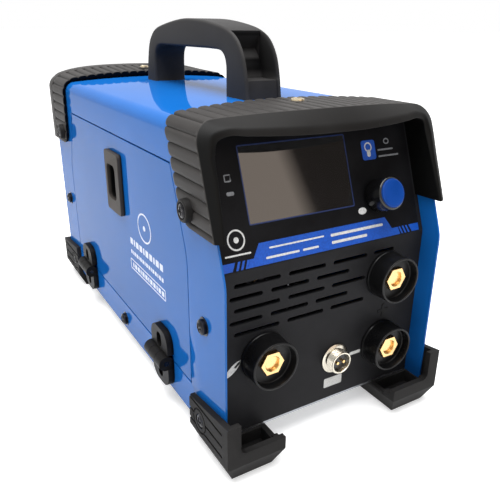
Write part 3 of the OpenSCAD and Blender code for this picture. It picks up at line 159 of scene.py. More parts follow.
def rounded_corner(before, corner, after, r, count=4):
    """Parabola that leaves one line r before the corner and joins the next r after it."""
    a = corner + (before - corner) * (r / np.linalg.norm(before - corner, axis=-1, keepdims=True))
    b = corner + (after - corner) * (r / np.linalg.norm(after - corner, axis=-1, keepdims=True))
    return [(1 - t) ** 2 * a + 2 * t * (1 - t) * corner + t**2 * b for t in np.linspace(0, 1, count)]


def soft_profile(corners, radii, count=4):
    """Profile of (radius, height) corners, each rounded by its own radius."""
    p = np.asarray(corners, float)
    out = []
    for k, r in enumerate(radii):
        out += rounded_corner(p[k - 1], p[k], p[k + 1], r, count) if r > 0 else [p[k]]
    return np.array(out)


def round_angles(count):
    """Angles of count points evenly round a circle."""
    return np.linspace(0, 2 * np.pi, count, endpoint=False)


def arc(cx, cy, r, start, end, count):
    """Points at radius r round a centre, from one angle in degrees to another."""
    a = np.radians(np.linspace(start, end, count))
    return np.stack([cx + r * np.cos(a), cy + r * np.sin(a)], -1)


def rounded_box(w, h, r, count=4):
    """Outline of a rectangle whose corners are quarter circles."""
    x, y = w / 2 - r, h / 2 - r
    corners = ((x, y), (-x, y), (-x, -y), (x, -y))
    return np.concatenate([arc(*c, r, 90 * k, 90 * k + 90, count) for k, c in enumerate(corners)])


def axes(axis, start):
    """Unit vectors along the axis, square to it and start, and square to both."""
    axis = np.asarray(axis, float) / np.linalg.norm(axis)
    side = np.cross(axis, start)
    side /= np.linalg.norm(side)
    return axis, side, np.cross(axis, side)


def turned(profile, origin, axis, count=48, start=UP):
    """Profile of (radius, height) pairs turned round the axis through the origin."""
    axis, side, other = axes(axis, start)
    a = round_angles(count)
    profile = np.asarray(profile, float)[..., None, None]
    ring = np.cos(a)[:, None] * side + np.sin(a)[:, None] * other
    return np.asarray(origin, float) + profile[:, 0] * ring[None] + profile[:, 1] * axis


def lean_y(y, z):
    """Place along the case, at height z, of the leaning line that starts at y."""
    return y + math.tan(LEAN) * (z - BEND_Z)


def on_slope(x, z, lift):
    """Point on the printed overlay at x and height z, lifted off it square to its face."""
    x, z = np.broadcast_arrays(np.asarray(x, float), np.asarray(z, float))
    off = OVERLAY_T + lift
    return np.stack([x, lean_y(PANEL_Y, z) - off * math.cos(LEAN), z + off * math.sin(LEAN)], -1)


# ---- shapes to meshes ----
def ring_faces(rows, cols, first):
    """Faces of a grid of rows by cols points, each row a closed ring."""
    i = np.arange(rows - 1)[:, None]
    j = np.arange(cols)[None, :]
    a = first + i * cols + j
    b = first + i * cols + (j + 1) % cols
    return np.stack([a, b, b + cols, a + cols], -1).reshape(-1, 4)


def added(name, data):
    """A new object in the scene."""
    obj = bpy.data.objects.new(name, data)
    bpy.context.scene.collection.objects.link(obj)
    return obj


def place(mesh, body, finish, nodes):
    """Puts a piece into the scene with its body, its finish and the nodes it replaces."""
    obj = added(mesh.name, mesh)
    mesh.materials.clear()
    mesh.materials.append(FINISH[finish])
    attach(obj, body)
    if nodes:
        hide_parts(*nodes)
    return obj


def cleaned(mesh, angle, join=False):
    """Joins doubled points, then joins flat faces or turns faces outwards. Edges over the angle are sharp."""
    bm = bmesh.new()
    bm.from_mesh(mesh)
    bmesh.ops.remove_doubles(bm, verts=bm.verts, dist=DOUBLES)
    if join:
        bmesh.ops.dissolve_limit(bm, angle_limit=FLAT_ANGLE, verts=bm.verts, edges=bm.edges)
    else:
        bmesh.ops.recalc_face_normals(bm, faces=bm.faces)
    bm.to_mesh(mesh)
    bm.free()
    mesh.shade_smooth()
    mesh.set_sharp_from_angle(angle=angle)


def skin(name, grids, finish, slot, *nodes, body="machine", sharp=32, caps=True, shade=None):
    """One piece from grids of points in millimetres, each rows of closed rings with its end rings capped.
    Shade holds values for each grid's points, which the finish reads."""
    points, faces, first = [], [], 0
    for grid in grids:
        rows, cols = grid.shape[:2]
        points.append(grid.reshape(-1, 3))
        faces += ring_faces(rows, cols, first).tolist()
        last = first + (rows - 1) * cols
        if caps:
            faces.append(list(range(first + cols - 1, first - 1, -1)))
            faces.append(list(range(last, last + cols)))
        first += rows * cols
    mesh = bpy.data.meshes.new(name)
    mesh.from_pydata((np.concatenate(points) * MM).tolist(), [], faces)
    if shade is not None:
        values = [np.broadcast_to(v, g.shape[:2]).ravel() for v, g in zip(shade, grids)]
        layer = mesh.attributes.new("shade", "FLOAT", "POINT")
        layer.data.foreach_set("value", np.concatenate(values).astype(np.float32))
    cleaned(mesh, math.radians(sharp))
    return place(mesh, body, finish, nodes)


def dressed(node, edge, finish, name=None, segments=3):
    """A copy of a node's mesh with its flat faces joined and its edges rounded to edge mm."""
    mesh = NODES[node].data.copy()
    mesh.name = name or node + "_body"
    cleaned(mesh, EDGE_ANGLE, join=True)
    obj = place(mesh, NODES[node]["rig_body"], finish, [node])
    round_off = obj.modifiers.new("rounded_edges", "BEVEL")
    round_off.width = edge * MM
    round_off.segments = segments
    round_off.limit_method = "ANGLE"
    round_off.angle_limit = EDGE_ANGLE
    round_off.harden_normals = True
    round_off.miter_outer = "MITER_ARC"


# ---- finishes ----
def linear(rgb):
    """Screen colour of 0 to 255 to the light it stands for."""
    c = np.asarray(rgb, float) / 255
    out = np.where(c <= 0.04045, c / 12.92, ((c + 0.055) / 1.055) ** 2.4)
    return tuple(out) + (1,)


def toned(base, factor, plus=0):
    """A linear colour times a factor, with a little added."""
    return tuple(min(1, c * factor + plus) for c in base[:3]) + (1,)


class Mix:
    """Builds a finish: nodes round one Principled shader, with patterns on Object coordinates."""

    def __init__(self, name, **sockets):
        self.material = bpy.data.materials.new(name)
        self.material.use_nodes = True
        self.tree = self.material.node_tree
        self.shader = self.tree.nodes["Principled BSDF"]
        for key, value in sockets.items():
            self.shader.inputs[key.replace("_", " ")].default_value = value
        self.where = self.add("ShaderNodeTexCoord").outputs["Object"]

    def add(self, kind, **inputs):
        """A new node, its inputs given by name or as i and a number."""
        node = self.tree.nodes.new(kind)
        for key, value in inputs.items():
            by_number = key[0] == "i" and key[1:].isdigit()
            self.plug(node.inputs[int(key[1:]) if by_number else key], value)
        return node

    def plug(self, socket, value):
        """Links a node's output to a socket, or writes a plain value into it."""
        if isinstance(value, bpy.types.NodeSocket):
            self.tree.links.new(value, socket)
        else:
            socket.default_value = value

    def noise(self, scale, detail=3, stretch=None):
        """Cloudy pattern with about scale / 1000 features a millimetre, stretched by three factors."""
        where = self.where
        if stretch:
            where = self.add("ShaderNodeMapping", Vector=where, Scale=stretch).outputs[0]
        node = self.add("ShaderNodeTexNoise", Vector=where, Scale=scale, Detail=detail, Roughness=0.55)
        return node.outputs["Fac"]

    def span(self, value, low, high, to_low=0, to_high=1):
        """Carries low to high over to to_low to to_high and stops at the ends."""
        return self.add("ShaderNodeMapRange", i0=value, i1=low, i2=high, i3=to_low, i4=to_high).outputs[0]

    def blend(self, factor, a, b):
        """Colour a where the factor is nought, b where it is one."""
        node = self.tree.nodes.new("ShaderNodeMix")
        node.data_type = "RGBA"
        for key, value in ((0, factor), (6, a), (7, b)):
            self.plug(node.inputs[key], value)
        return node.outputs[2]

    def maths(self, how, a, b=0):
        """One operation on values."""
        node = self.add("ShaderNodeMath", i0=a, i1=b)
        node.operation = how
        return node.outputs[0]

    def product(self, first, *others):
        """All values multiplied."""
        for other in others:
            first = self.maths("MULTIPLY", first, other)
        return first

    def axis(self, k):
        """Object coordinate k, in metres."""
        return self.add("ShaderNodeSeparateXYZ", Vector=self.where).outputs[k]

    def colour(self, value):
        self.tree.links.new(value, self.shader.inputs["Base Color"])

    def rough(self, value):
        self.tree.links.new(value, self.shader.inputs["Roughness"])

    def glow(self, rgb, strength):
        """Gives off light of a colour and a strength."""
        self.shader.inputs["Emission Color"].default_value = rgb
        self.tree.links.new(strength, self.shader.inputs["Emission Strength"])

    def bump(self, *layers):
        """Raises the surface by patterns, given as (pattern, strength, height in millimetres)."""
        normal = None
        for height, strength, size in layers:
            node = self.add("ShaderNodeBump", Height=height, Strength=strength, Distance=size * MM)
            if normal is not None:
                self.tree.links.new(normal, node.inputs["Normal"])
            normal = node.outputs[0]
        self.tree.links.new(normal, self.shader.inputs["Normal"])
        return normal

    def wear(self, low=0.515, high=0.56):
        """Nought on flats and up to one along outer edges."""
        return self.span(self.add("ShaderNodeNewGeometry").outputs["Pointiness"], low, high)


def inward_shade_mask(x):
    """Mask of painted shade on a moulding on the left side: nought x mm from the middle, one 1.5 mm farther
    in, so its sides and recess take the shade.
    """

    def mask(m):
        return m.span(m.axis(0), -x * MM, (1.5 - x) * MM)

    return mask


def own_shade(m):
    """Mask of painted shade, read from the mesh's own shade values."""
    shade = m.add("ShaderNodeAttribute")
    shade.attribute_name = "shade"
    return shade.outputs["Fac"]


def pocket_shade_mask(m):
    """Mask of painted shade in the pocket of the handle's front leg, inside a quarter of an ellipse."""
    y = m.maths("DIVIDE", m.maths("ADD", m.axis(1), 50.0 * MM), 33.0 * MM)
    z = m.maths("DIVIDE", m.maths("SUBTRACT", m.axis(2), 205.0 * MM), 44.0 * MM)
    reach = m.maths("SQRT", m.maths("ADD", m.product(y, y), m.product(z, z)))
    return m.product(
        m.span(reach, 0.93, 0.99, 1, 0),
        m.span(m.maths("ABSOLUTE", m.axis(0)), 11.0 * MM, 11.6 * MM, 1, 0),
        m.span(m.axis(1), -57.0 * MM, -56.0 * MM, 1, 0),
        m.span(m.axis(2), 219.0 * MM, 223.0 * MM),
    )


def plastic(
    name, rgb, rough=0.45, grain=0.10, scale=2600, level=0.3, edge=0.35, cloud=0.12, mask=None, deep=None
):
    """Moulded plastic: fine grain, cloudy gloss, rubbed edges, and the deep colour, painted shade, where the
    mask is one.
    """
    m = Mix(name, Specular_IOR_Level=level)
    base = linear(rgb)
    cloudy = m.noise(38, 4)
    fine = m.noise(scale, 2)
    tone = m.blend(m.span(cloudy, 0.35, 0.65), toned(base, 1 - cloud), toned(base, 1 + cloud, 0.002))
    tone = m.blend(m.product(m.wear(), edge), tone, toned(base, 1.8, 0.012))
    # the deep colour is painted shade, laid where the mask is one
    m.colour(m.blend(mask(m), tone, linear(deep)) if mask else tone)
    m.rough(m.span(m.maths("ADD", cloudy, m.product(fine, 0.35)), 0.4, 1, rough - 0.07, rough + 0.09))
    m.bump((fine, grain, 0.12), (m.noise(420, 2), grain * 0.5, 0.15))
    return m.material


def paint(name, rgb):
    """Powder paint under a clear top: faint orange peel, slow changes of tone, worn edges."""
    m = Mix(name, Coat_Weight=0.42, Coat_Roughness=0.03, Coat_IOR=1.5, Specular_IOR_Level=0)
    base = linear(rgb)
    slow = m.noise(9, 3)
    fleck = m.noise(1900, 2)
    tone = m.blend(m.span(slow, 0.35, 0.65), toned(base, 0.93), toned(base, 1.06))
    tone = m.blend(m.span(fleck, 0.62, 0.8, 0, 0.18), tone, toned(base, 1.5, 0.01))
    m.colour(m.blend(m.product(m.wear(0.52, 0.6), 0.3), tone, toned(base, 0.45)))
    m.rough(m.span(slow, 0.3, 0.7, 0.27, 0.38))
    normal = m.bump((m.noise(260, 1.5), 0.015, 0.2))
    m.tree.links.new(normal, m.shader.inputs["Coat Normal"])
    return m.material


def metal(name, rgb, rough=0.25, brush=(1, 1, 1), scale=900, depth=0.15, tint=0.1):
    """Metal: fine lines along the least stretched direction, dull patches, bright edges."""
    m = Mix(name, Metallic=1, Specular_IOR_Level=0.5)
    base = linear(rgb)
    lines = m.noise(scale, 3, brush)
    patch = m.noise(55, 3)
    tone = m.blend(m.span(patch, 0.3, 0.7), toned(base, 1 - 2 * tint), toned(base, 1 + tint))
    m.colour(m.blend(m.product(m.wear(), 0.5), tone, toned(base, 1.25, 0.03)))
    m.rough(m.span(m.maths("ADD", patch, lines), 0.6, 1.4, max(0.04, rough - 0.1), rough + 0.12))
    m.bump((lines, depth, 0.05))
    return m.material


def ink(name, rgb):
    """Screen-printed ink: small gaps in the film and a soft sheen."""
    m = Mix(name, Specular_IOR_Level=0.35)
    base = linear(rgb)
    film = m.noise(900, 3)
    m.colour(m.blend(m.span(film, 0.4, 0.6), toned(base, 0.8), base))
    m.rough(m.span(film, 0.3, 0.7, 0.35, 0.48))
    m.bump((m.noise(1500, 2), 0.08, 0.05))
    return m.material


def board_lacquer(name, rgb):
    """Circuit board: lacquer over copper tracks, with tinned spots."""
    m = Mix(name, Coat_Weight=0.5, Coat_Roughness=0.15, Specular_IOR_Level=0.5)
    base = linear(rgb)
    tracks = m.noise(160, 1, (1, 0.12, 1))
    line = m.span(tracks, 0.5, 0.53)
    tone = m.blend(line, toned(base, 0.75), toned(base, 1.6, 0.01))
    m.colour(m.blend(m.span(m.noise(420, 1), 0.66, 0.68), tone, linear((196, 190, 170))))
    m.rough(m.span(tracks, 0.3, 0.7, 0.3, 0.45))
    m.bump((line, 0.3, 0.05))
    return m.material


def tape(name, rgb):
    """Wound tape: parallel turns with darker lines between them."""
    m = Mix(name, Specular_IOR_Level=0.5, Coat_Weight=0.3, Coat_Roughness=0.2)
    base = linear(rgb)
    wave = m.add("ShaderNodeTexWave", Vector=m.where, Scale=90, Distortion=0.4, Detail=1)
    line = wave.outputs["Fac"]
    patch = m.noise(120, 3)
    tone = m.blend(m.span(patch, 0.3, 0.7), toned(base, 0.8), base)
    m.colour(m.blend(m.span(line, 0, 0.35, 1, 0), tone, toned(base, 0.25)))
    m.rough(m.span(patch, 0.3, 0.7, 0.24, 0.42))
    m.bump((line, 0.3, 0.4))
    return m.material


def display_glass(name):
    """Dark glass with a fine haze and a faint smear."""
    m = Mix(name, Specular_IOR_Level=0.9, Coat_Weight=1, Coat_Roughness=0.02, Coat_IOR=1.55)
    smear = m.noise(26, 4, (1, 1, 0.4))
    m.colour(m.blend(m.span(smear, 0.3, 0.7), linear((10, 10, 12)), linear((17, 16, 18))))
    m.rough(m.span(smear, 0.3, 0.75, 0.02, 0.09))
    m.bump((m.noise(2400, 1), 0.01, 0.05))
    return m.material


FINISH = {
    "blue_paint": paint("case_paint", (20, 95, 172)),
    "door_paint": paint("door_paint", (20, 94, 170)),
    "black_panel": plastic("panel_plastic", (28, 28, 30), rough=0.5, grain=0.12, level=0.07, edge=0.2),
    "rear_panel": plastic("rear_sheet_paint", (28, 28, 31), grain=0.18, scale=900),
    # painted shade: the hoods' shade values blend in near black
    "hood_plastic": plastic(
        "hood_plastic", (50, 48, 47), 0.5, 0.12, 2200, 0.1, mask=own_shade, deep=(7, 7, 7)
    ),
    # painted shade: the front leg's pocket near black
    "handle_plastic": plastic(
        "handle_plastic", (46, 45, 45), 0.5, 0.14, 2400, 0.08, mask=pocket_shade_mask, deep=(4, 4, 5)
    ),
    "black_plastic": plastic("black_plastic", (26, 26, 28), rough=0.4, level=0.35),
    "collar_plastic": plastic("collar_plastic", (11, 11, 12), rough=0.3, grain=0.04, level=0.16, edge=0.9),
    "black_gloss": plastic("gloss_plastic", (9, 9, 10), rough=0.18, grain=0.02, level=0.45),
    # painted shade: near black standing for the shade in a moulded groove
    "groove_shade_plate": plastic("painted_groove_black", (7, 7, 8), rough=0.5, grain=0.04, level=0.12, edge=0),
    "foot_rubber": plastic("foot_plastic", (24, 23, 23), 0.62, 0.2, 1700, 0.08, 0.4, 0.14),
    # painted shade on the hinge's sides, inward of its outer face
    "hinge_plastic": plastic(
        "hinge_plastic", (14, 13, 13), 0.42, 0.08, level=0.07, edge=0.4, mask=inward_shade_mask(82.4), deep=(3, 3, 4)
    ),
    # painted shade on the bezel's sides and recess, inward of its face
    "bezel_plastic": plastic(
        "bezel_plastic", (58, 54, 51), 0.5, 0.12, level=0.06, mask=inward_shade_mask(81.9), deep=(4, 4, 5)
    ),
    "latch_plastic": plastic("latch_plastic", (12, 12, 15), rough=0.35, grain=0.06, level=0.08),
    "overlay_film": plastic(
        "overlay_film", (20, 20, 22), rough=0.4, grain=0.05, scale=3500, level=0.05, edge=0.0
    ),
    "blue_plastic": plastic("knob_blue", (6, 58, 134), rough=0.33, grain=0.05, level=0.12, edge=0.3),
    "white_plastic": plastic("white_plastic", (214, 212, 204), rough=0.4, grain=0.06, level=0.4, edge=0),
    "red_plastic": plastic("rocker_red", (168, 26, 30), rough=0.3, grain=0.04, level=0.45, edge=0.2),
    "ferrite": plastic("ferrite_core", (52, 52, 56), rough=0.6, grain=0.25, scale=1200, level=0.5),
    "sleeve": plastic("capacitor_sleeve", (24, 32, 66), rough=0.28, grain=0.03, level=0.5),
    "brass": metal("brass", (224, 186, 128), rough=0.26, scale=700, tint=0.08),
    "nickel": metal("nickel", (196, 190, 176), rough=0.2),
    "steel": metal("bright_steel", (176, 178, 180), rough=0.26, scale=800),
    "pale_brass": metal("plated_screw", (206, 190, 158), rough=0.22, scale=800),
    "black_steel": metal("black_screw_steel", (36, 36, 39), rough=0.3, scale=700, tint=0.2),
    "zinc": metal("zinc_sheet", (150, 153, 158), rough=0.35, scale=60, depth=0.05, tint=0.14),
    "alloy": metal("cast_alloy", (168, 170, 173), 0.4, (0.15, 1, 1), scale=500),
    "dark_alloy": metal("dark_alloy", (78, 79, 84), 0.45, (1, 0.12, 1), scale=450, depth=0.3),
    "board": board_lacquer("board_lacquer", (24, 92, 50)),
    "winding_tape": tape("winding_tape", (186, 150, 40)),
    "copper": metal("copper_turns", (190, 96, 52), rough=0.24, scale=500, tint=0.18),
    "copper_wire": metal("wound_copper", (186, 104, 62), rough=0.27, scale=400, tint=0.12),
    "ink_blue": ink("print_blue", (12, 78, 178)),
    "ink_white": ink("print_white", (208, 208, 206)),
    "ink_grey": ink("print_grey", (128, 130, 134)),
    "ink_dark": ink("print_dark", (24, 44, 92)),
    "door_white": ink("door_print", (214, 222, 240)),
    "display_glass": display_glass("display_glass"),
}


# ---- case outline ----
OUT_W = HALF_W + HOOD_T
OUT_R = CORNER_R + HOOD_T
OUT_CROWN = CROWN_R + HOOD_T
CORNER_DZ = math.sqrt((OUT_CROWN - OUT_R) ** 2 - (OUT_W - OUT_R) ** 2)
CORNER_A = math.atan2(CORNER_DZ, OUT_W - OUT_R)
S_CROWN = OUT_CROWN * (math.pi / 2 - CORNER_A)
S_SIDE = S_CROWN + OUT_R * CORNER_A
CORNER_Z = TOP_Z - CROWN_R + CORNER_DZ
S_END = S_SIDE + CORNER_Z - HOOD_Z
HOOD_SCREW_Z = HOOD_Z + HOOD_CORNER_R
FRONT_SCREW_Y = lean_y(FRONT_Y, HOOD_Z) + HOOD_D - HOOD_CORNER_R
BACK_SCREW_Y = REAR_Y - HOOD_REAR_D + HOOD_REAR_STEP + HOOD_CORNER_R


def around_case(s, d):
    """Points (x, z) on the case outline moved out by d. Length s runs from the middle of the top along a wide
    arc, a corner arc, then straight down. Negative s is the left side."""
    t = np.abs(s)
    a = np.where(
        t < S_CROWN,
        math.pi / 2 - t / OUT_CROWN,
        np.where(t < S_SIDE, CORNER_A - (t - S_CROWN) / OUT_R, 0),
    )
    cx = np.where(t < S_CROWN, 0, OUT_W - OUT_R)
    cz = np.where(t < S_CROWN, TOP_Z - CROWN_R, CORNER_Z - np.clip(t - S_SIDE, 0, None))
    r = np.where(t < S_CROWN, OUT_CROWN, OUT_R) + d - HOOD_T
    return np.sign(s) * (cx + r * np.cos(a)), cz + r * np.sin(a)


def off_case(s, d, y):
    """Point of the hood at s, d away from the case sheet, y along the case."""
    x, z = around_case(s, d)
    x, z, y = np.broadcast_arrays(x, z, y)
    return np.stack([x, y, z], -1)


def rib_share(s):
    """-0.5 to 0.5 across each rib."""
    return s / RIB_PITCH - np.round(s / RIB_PITCH)


def rib_height(s):
    """Height over the case: flat over a rib, then falling ever faster to a narrow groove."""
    return HOOD_T + RIB_H * (1 - np.abs(2 * rib_share(s)) ** RIB_POWER)


def groove_shade(height):
    """Painted shade between two ribs, growing with the square of the groove's depth."""
    return 0.55 * np.clip((HOOD_ALL - height) / np.ptp(height), 0, 1) ** 2


def scallop(s):
    """How far a rib's rounded end falls short of the hood's edge."""
    return SCALLOP * (1 - np.sqrt(np.clip(1 - (2 * rib_share(s)) ** 2, 0, 1)))


def hood_columns():
    """Places along the outline: sixteen to a rib, so that each groove falls on a column."""
    n = int(S_END / RIB_PITCH * 16)
    inner = np.arange(-n, n + 1) * RIB_PITCH / 16
    return np.concatenate([[-S_END], inner, [S_END]])


# Knots of the visor's section: s on the outline, then rib line y, ridge (x, y, z), lip edge (x, y, z)
VISOR = np.array(
    [
        [0, -153.6, 0, -161.4, 200.7, 0, -163, 196.3],
        [14.5, -153, 14, -161.2, 200.6, 14.4, -162.8, 196.3],
        [31, -150.8, 30, -160, 201, 30.6, -161.6, 196.7],
        [44, -148.6, 43, -158.5, 201.5, 43.8, -160, 197.2],
        [58, -146.6, 56, -156.5, 202, 56.6, -157.9, 197.9],
        [72, -145.2, 68, -154.4, 202.2, 67.2, -155.7, 198.4],
        [80, -148.2, 75, -154, 199.4, 72.6, -154.6, 196],
        [88.5, -152.2, 77.4, -155.9, 192.4, 74.4, -155.4, 190],
        [107.5, -159.3, 78, -162.3, 175, 75.7, -161.6, 174.4],
        [128.5, -167.2, 78.8, -170, 154, 77.3, -169.4, 154],
        [S_END, -169.6, 79, -172.4, 147.5, 77.6, -171.8, 147.5],
    ]
)


def front_rear_edge(s):
    """Rear edge of the front hood: a wide curve on top, a leaning line at the sides, a round corner."""
    x, z = around_case(s, HOOD_ALL)
    half = HALF_W + HOOD_ALL
    r = (half**2 + HOOD_TAIL**2) / (2 * HOOD_TAIL)
    top = lean_y(FRONT_Y + HOOD_D, TOP_Z) + HOOD_TAIL - r + np.sqrt(r**2 - x**2)
    side = lean_y(FRONT_Y + HOOD_D, z)
    drop = np.clip(HOOD_SCREW_Z - z, 0, HOOD_CORNER_R)
    corner = FRONT_SCREW_Y + np.sqrt(HOOD_CORNER_R**2 - drop**2)
    t = smoothstep((z - 192) / 14)
    return np.where(drop > 0, np.minimum(corner, side), side * (1 - t) + np.minimum(top, side + 9) * t)


def seats(y, top_y, rise):
    """Seats of a hood's screws: turrets with sunk floors at the sides, a flat disc on top of the ribs."""
    proud = HOOD_ALL + HOOD_BOSS_H
    floor = proud - HOOD_SEAT_D
    inner = HOOD_SCREW_R + 0.5
    high = HOOD_ALL + rise + 0.1
    outer = [(AXIS_R, 0), (HOOD_BOSS_R + 0.5, 0), (HOOD_BOSS_R, proud)]
    turret = soft_profile(
        outer + [(inner + 0.1, proud), (inner, floor), (AXIS_R, floor)], [0, 0, 0.9, 0.3, 0, 0]
    )
    disc = soft_profile([(AXIS_R, -2), (6.4, -2), (6, high), (AXIS_R, high)], [0, 0, 0.6, 0])
    sides = [turned(turret, (side * HALF_W, y, HOOD_SCREW_Z), (side, 0, 0)) for side in (-1, 1)]
    return [*sides, turned(disc, (0, top_y, TOP_Z), UP, start=(0, 1, 0))]


def hood_skin(node, grid, screw_seats, dark, grooves):
    """A hood from its grid and seats, with painted shade on its plain darker faces, in its grooves and on its
    side seats.
    """
    shade = [np.maximum(dark, grooves), 0.8, 0.8, 0]
    grids = [grid, *screw_seats]
    skin(node + "_shell", grids, "hood_plastic", "black_plastic", node, sharp=38, shade=shade)


def front_hood():
    """The ribbed hood with its visor: one closed section of points carried along the case outline."""
    s = hood_columns()
    t = np.abs(s)
    knot = curve_through(VISOR[:, 0], VISOR[:, 1:], t)
    y0 = knot[:, 0]
    ridge = np.stack([np.sign(s) * knot[:, 1], knot[:, 2], knot[:, 3]], -1)
    lip = np.stack([np.sign(s) * knot[:, 4], knot[:, 5], knot[:, 6]], -1)
    y1 = front_rear_edge(s) - scallop(s)
    high = rib_height(s)
    start = off_case(s, HOOD_ALL, y0)
    _, z_in = around_case(s, 0.05)
    case_edge = lean_y(FRONT_Y, z_in)
    panel_face = lean_y(PANEL_Y, z_in) - 0.2
    section = [
        off_case(s, 0.05, y1 - 0.3),
        off_case(s, 0.05, case_edge),
        off_case(s, 0.05, case_edge - 0.6),
        off_case(s, -1.6, case_edge - 0.6),
        off_case(s, -1.8, panel_face),
        off_case(s, -3.4, panel_face),
    ]
    section += rounded_corner(section[-1], lip, ridge, 1)
    section += rounded_corner(lip, ridge, start, 1.4)
    section += rounded_corner(ridge, start, off_case(s, HOOD_ALL, y0 + 1), 0.5, 3)
    section.append(off_case(s, high, y0 + 0.9))
    for v in np.linspace(0.05, 0.97, 9):
        section.append(off_case(s, high, y0 + 0.9 + (y1 - 1.4 - y0 - 0.9) * v))
    for back, share in ((1.4, 1), (0.7, 0.94), (0.25, 0.78), (0, 0.5), (0.05, 0.04)):
        section.append(off_case(s, high * share, y1 - back))
    point = np.arange(len(section))
    # painted shade: the visor's faces up to its ridge darker, a quarter less on top, and painted shade in the
    # grooves between ribs
    dark = (point < 15) * (0.75 + 0.25 * smoothstep((t[:, None] - 60) / 25))
    grooves = groove_shade(high)[:, None] * (point > 22)
    hood_skin("front_hood", np.stack(section, 1), seats(FRONT_SCREW_Y, TOP_SCREW_Y, 0), dark, grooves)


def rear_hood():
    """The rear hood: ribs from a serrated front edge to a plain rim, then a lip behind the case. Its top
    arches, more so farther back, and falls off with the fifth power of the distance from the middle."""
    s = hood_columns()
    _, z = around_case(s, HOOD_ALL)
    y_top = REAR_Y - HOOD_REAR_D
    rim = REAR_Y - HOOD_RIM_D
    back = REAR_Y + HOOD_REAR_REACH

    def off(d, y):
        point = off_case(s, d, y)
        across = 1 - np.minimum(np.abs(point[..., 0]) / ARCH_HALF_W, 1) ** 5
        along = np.interp(point[..., 1], [y_top, back], ARCH_RISE)
        point[..., 2] += np.clip(np.asarray(d) / HOOD_ALL, 0, 1) * across * along
        return point

    drop = np.clip(HOOD_SCREW_Z - z, 0, HOOD_CORNER_R)
    side = y_top + HOOD_REAR_STEP * np.clip((TOP_Z - CORNER_R - z) / 45, 0, 1)
    corner = BACK_SCREW_Y - np.sqrt(HOOD_CORNER_R**2 - drop**2)
    y0 = np.where(drop > 0, np.maximum(corner, side), side) + scallop(s)
    high = rib_height(s)
    section = [off(0.05, y0 + 2.6)]
    for ahead, share in ((1.2, 0.45), (0.1, 0.88), (0.3, 0.985), (0.9, 1)):
        section.append(off(high * share, y0 + ahead))
    for v in np.linspace(0.1, 1, 6):
        section.append(off(high, y0 + 1.4 + (rim - y0 - 1.4) * v))
    lip = ((0.2, rim + 0.2), (0, rim + 0.7), (0, rim + 4), (0, back - 2.2), (0.5, back - 0.9))
    for sunk, y in (*lip, (1.4, back - 0.2), (2.4, back)):
        section.append(off(HOOD_ALL - sunk, y))
    under = ((-1.6, back), (-2.2, back - 0.4), (-2.3, back - 1.2), (-2.3, REAR_Y + 0.2), (0.05, REAR_Y + 0.2))
    section += [off(d, y) for d, y in under]
    # painted shade: the front face (first three points) dark, and painted shade in the grooves between ribs
    point = np.arange(len(section))
    grooves = groove_shade(high)[:, None] * (point < 11)
    screw_seats = seats(BACK_SCREW_Y, REAR_SCREW_Y, REAR_RISE)
    hood_skin("rear_hood", np.stack(section, 1), screw_seats, point < 3, grooves)


front_hood()
rear_hood()


# ---- handle ----
def handle():
    """A round-edged section carried from foot to foot over the grip. Its outer face sinks into a deep channel
    in the front leg and a shallow one below that."""
    knot = np.array(
        [  # share of the way, outer (y, z), inner (y, z)
            [0.00, -83, 203, -54, 203],
            [0.10, -80.2, 220, -54, 217],
            [0.20, -75.6, 233.5, -53.6, 226.5],
            [0.28, -68, 242.6, -51, 231.6],
            [0.36, -57.4, 247.9, -45.2, 234.8],
            [0.46, -38, 252, -30, 235.6],
            [0.58, -4, 255.3, -4, 235.6],
            [0.66, 20, 255.3, 20, 235.6],
            [0.74, 50, 252, 46, 235.6],
            [0.81, 70, 248.2, 62, 235.2],
            [0.87, 80, 242.8, 69.6, 231.8],
            [0.92, 86.6, 234.6, 72.6, 226],
            [0.96, 91, 221, 73, 217],
            [1.00, 94, 203, 73, 203],
        ]
    )
    breaks = [0.082, 0.086, 0.094, 0.098, 0.33, 0.338, 0.35, 0.358]
    at = np.unique(np.concatenate([np.linspace(0, 1, 61), breaks]))
    line = curve_through(knot[:, 0], knot[:, 1:], at)
    inner = line[:, 2:, None]
    out = line[:, :2, None] - inner
    sink = np.interp(at, [0, 0.084, 0.096, 0.2, 0.332, 0.356, 1], [1.6, 1.6, 19, 19, 15, 0, 0])
    depth = np.linalg.norm(out, axis=1)
    out = out / depth[:, None]
    side, r, wall = 12, 2, 11.2

    def corner(x, q, start, outside):
        return [(x + px, outside, q + pq, 0) for px, pq in arc(0, 0, r, start, start + 90, 5)]

    pocket = ((wall + 0.7, 0), (wall + 0.15, 0.12), (wall - 0.1, 1))
    pocket += tuple((-x, share) for x, share in pocket[::-1])
    loop = corner(side, -r, 0, 1) + [(x, 1, 0, share) for x, share in pocket]
    loop += corner(-side, -r, 90, 1) + corner(-side, r, 180, 0) + corner(side, r, 270, 0)
    x, outside, q, share = np.array(loop).T
    q = outside * depth + q - share * sink[:, None]
    y, z = inner[:, 0] + out[:, 0] * q, inner[:, 1] + out[:, 1] * q
    grid = np.stack([np.broadcast_to(x, q.shape), y, z], -1)
    skin("handle_body", [grid], "handle_plastic", "black_plastic", "handle", sharp=50)


handle()

# ---- nodes with rounded edges ----
for node, edge, finish, slot, name in (
    ("outer_cover", 0.35, "blue_paint", "blue_paint", "case_cover"),
    ("side_door", 0.35, "door_paint", "blue_paint", "door_sheet"),
    ("front_panel", 0.4, "black_panel", "black_panel", "front_moulding"),
    ("rear_panel", 0.3, "rear_panel", "black_paint", "rear_sheet"),
):
    dressed(node, edge, finish, name, 2)
dressed("latch_bezel", 0.6, "bezel_plastic", "latch_frame")
for foot in ("front_left_foot", "front_right_foot", "rear_left_foot", "rear_right_foot"):
    dressed(foot, 0.7, "foot_rubber")
dressed("hinge_door_leaves", 0.8, "hinge_plastic", "hinge_door_half")
dressed("hinge_body_leaves", 0.8, "hinge_plastic", "hinge_case_half")


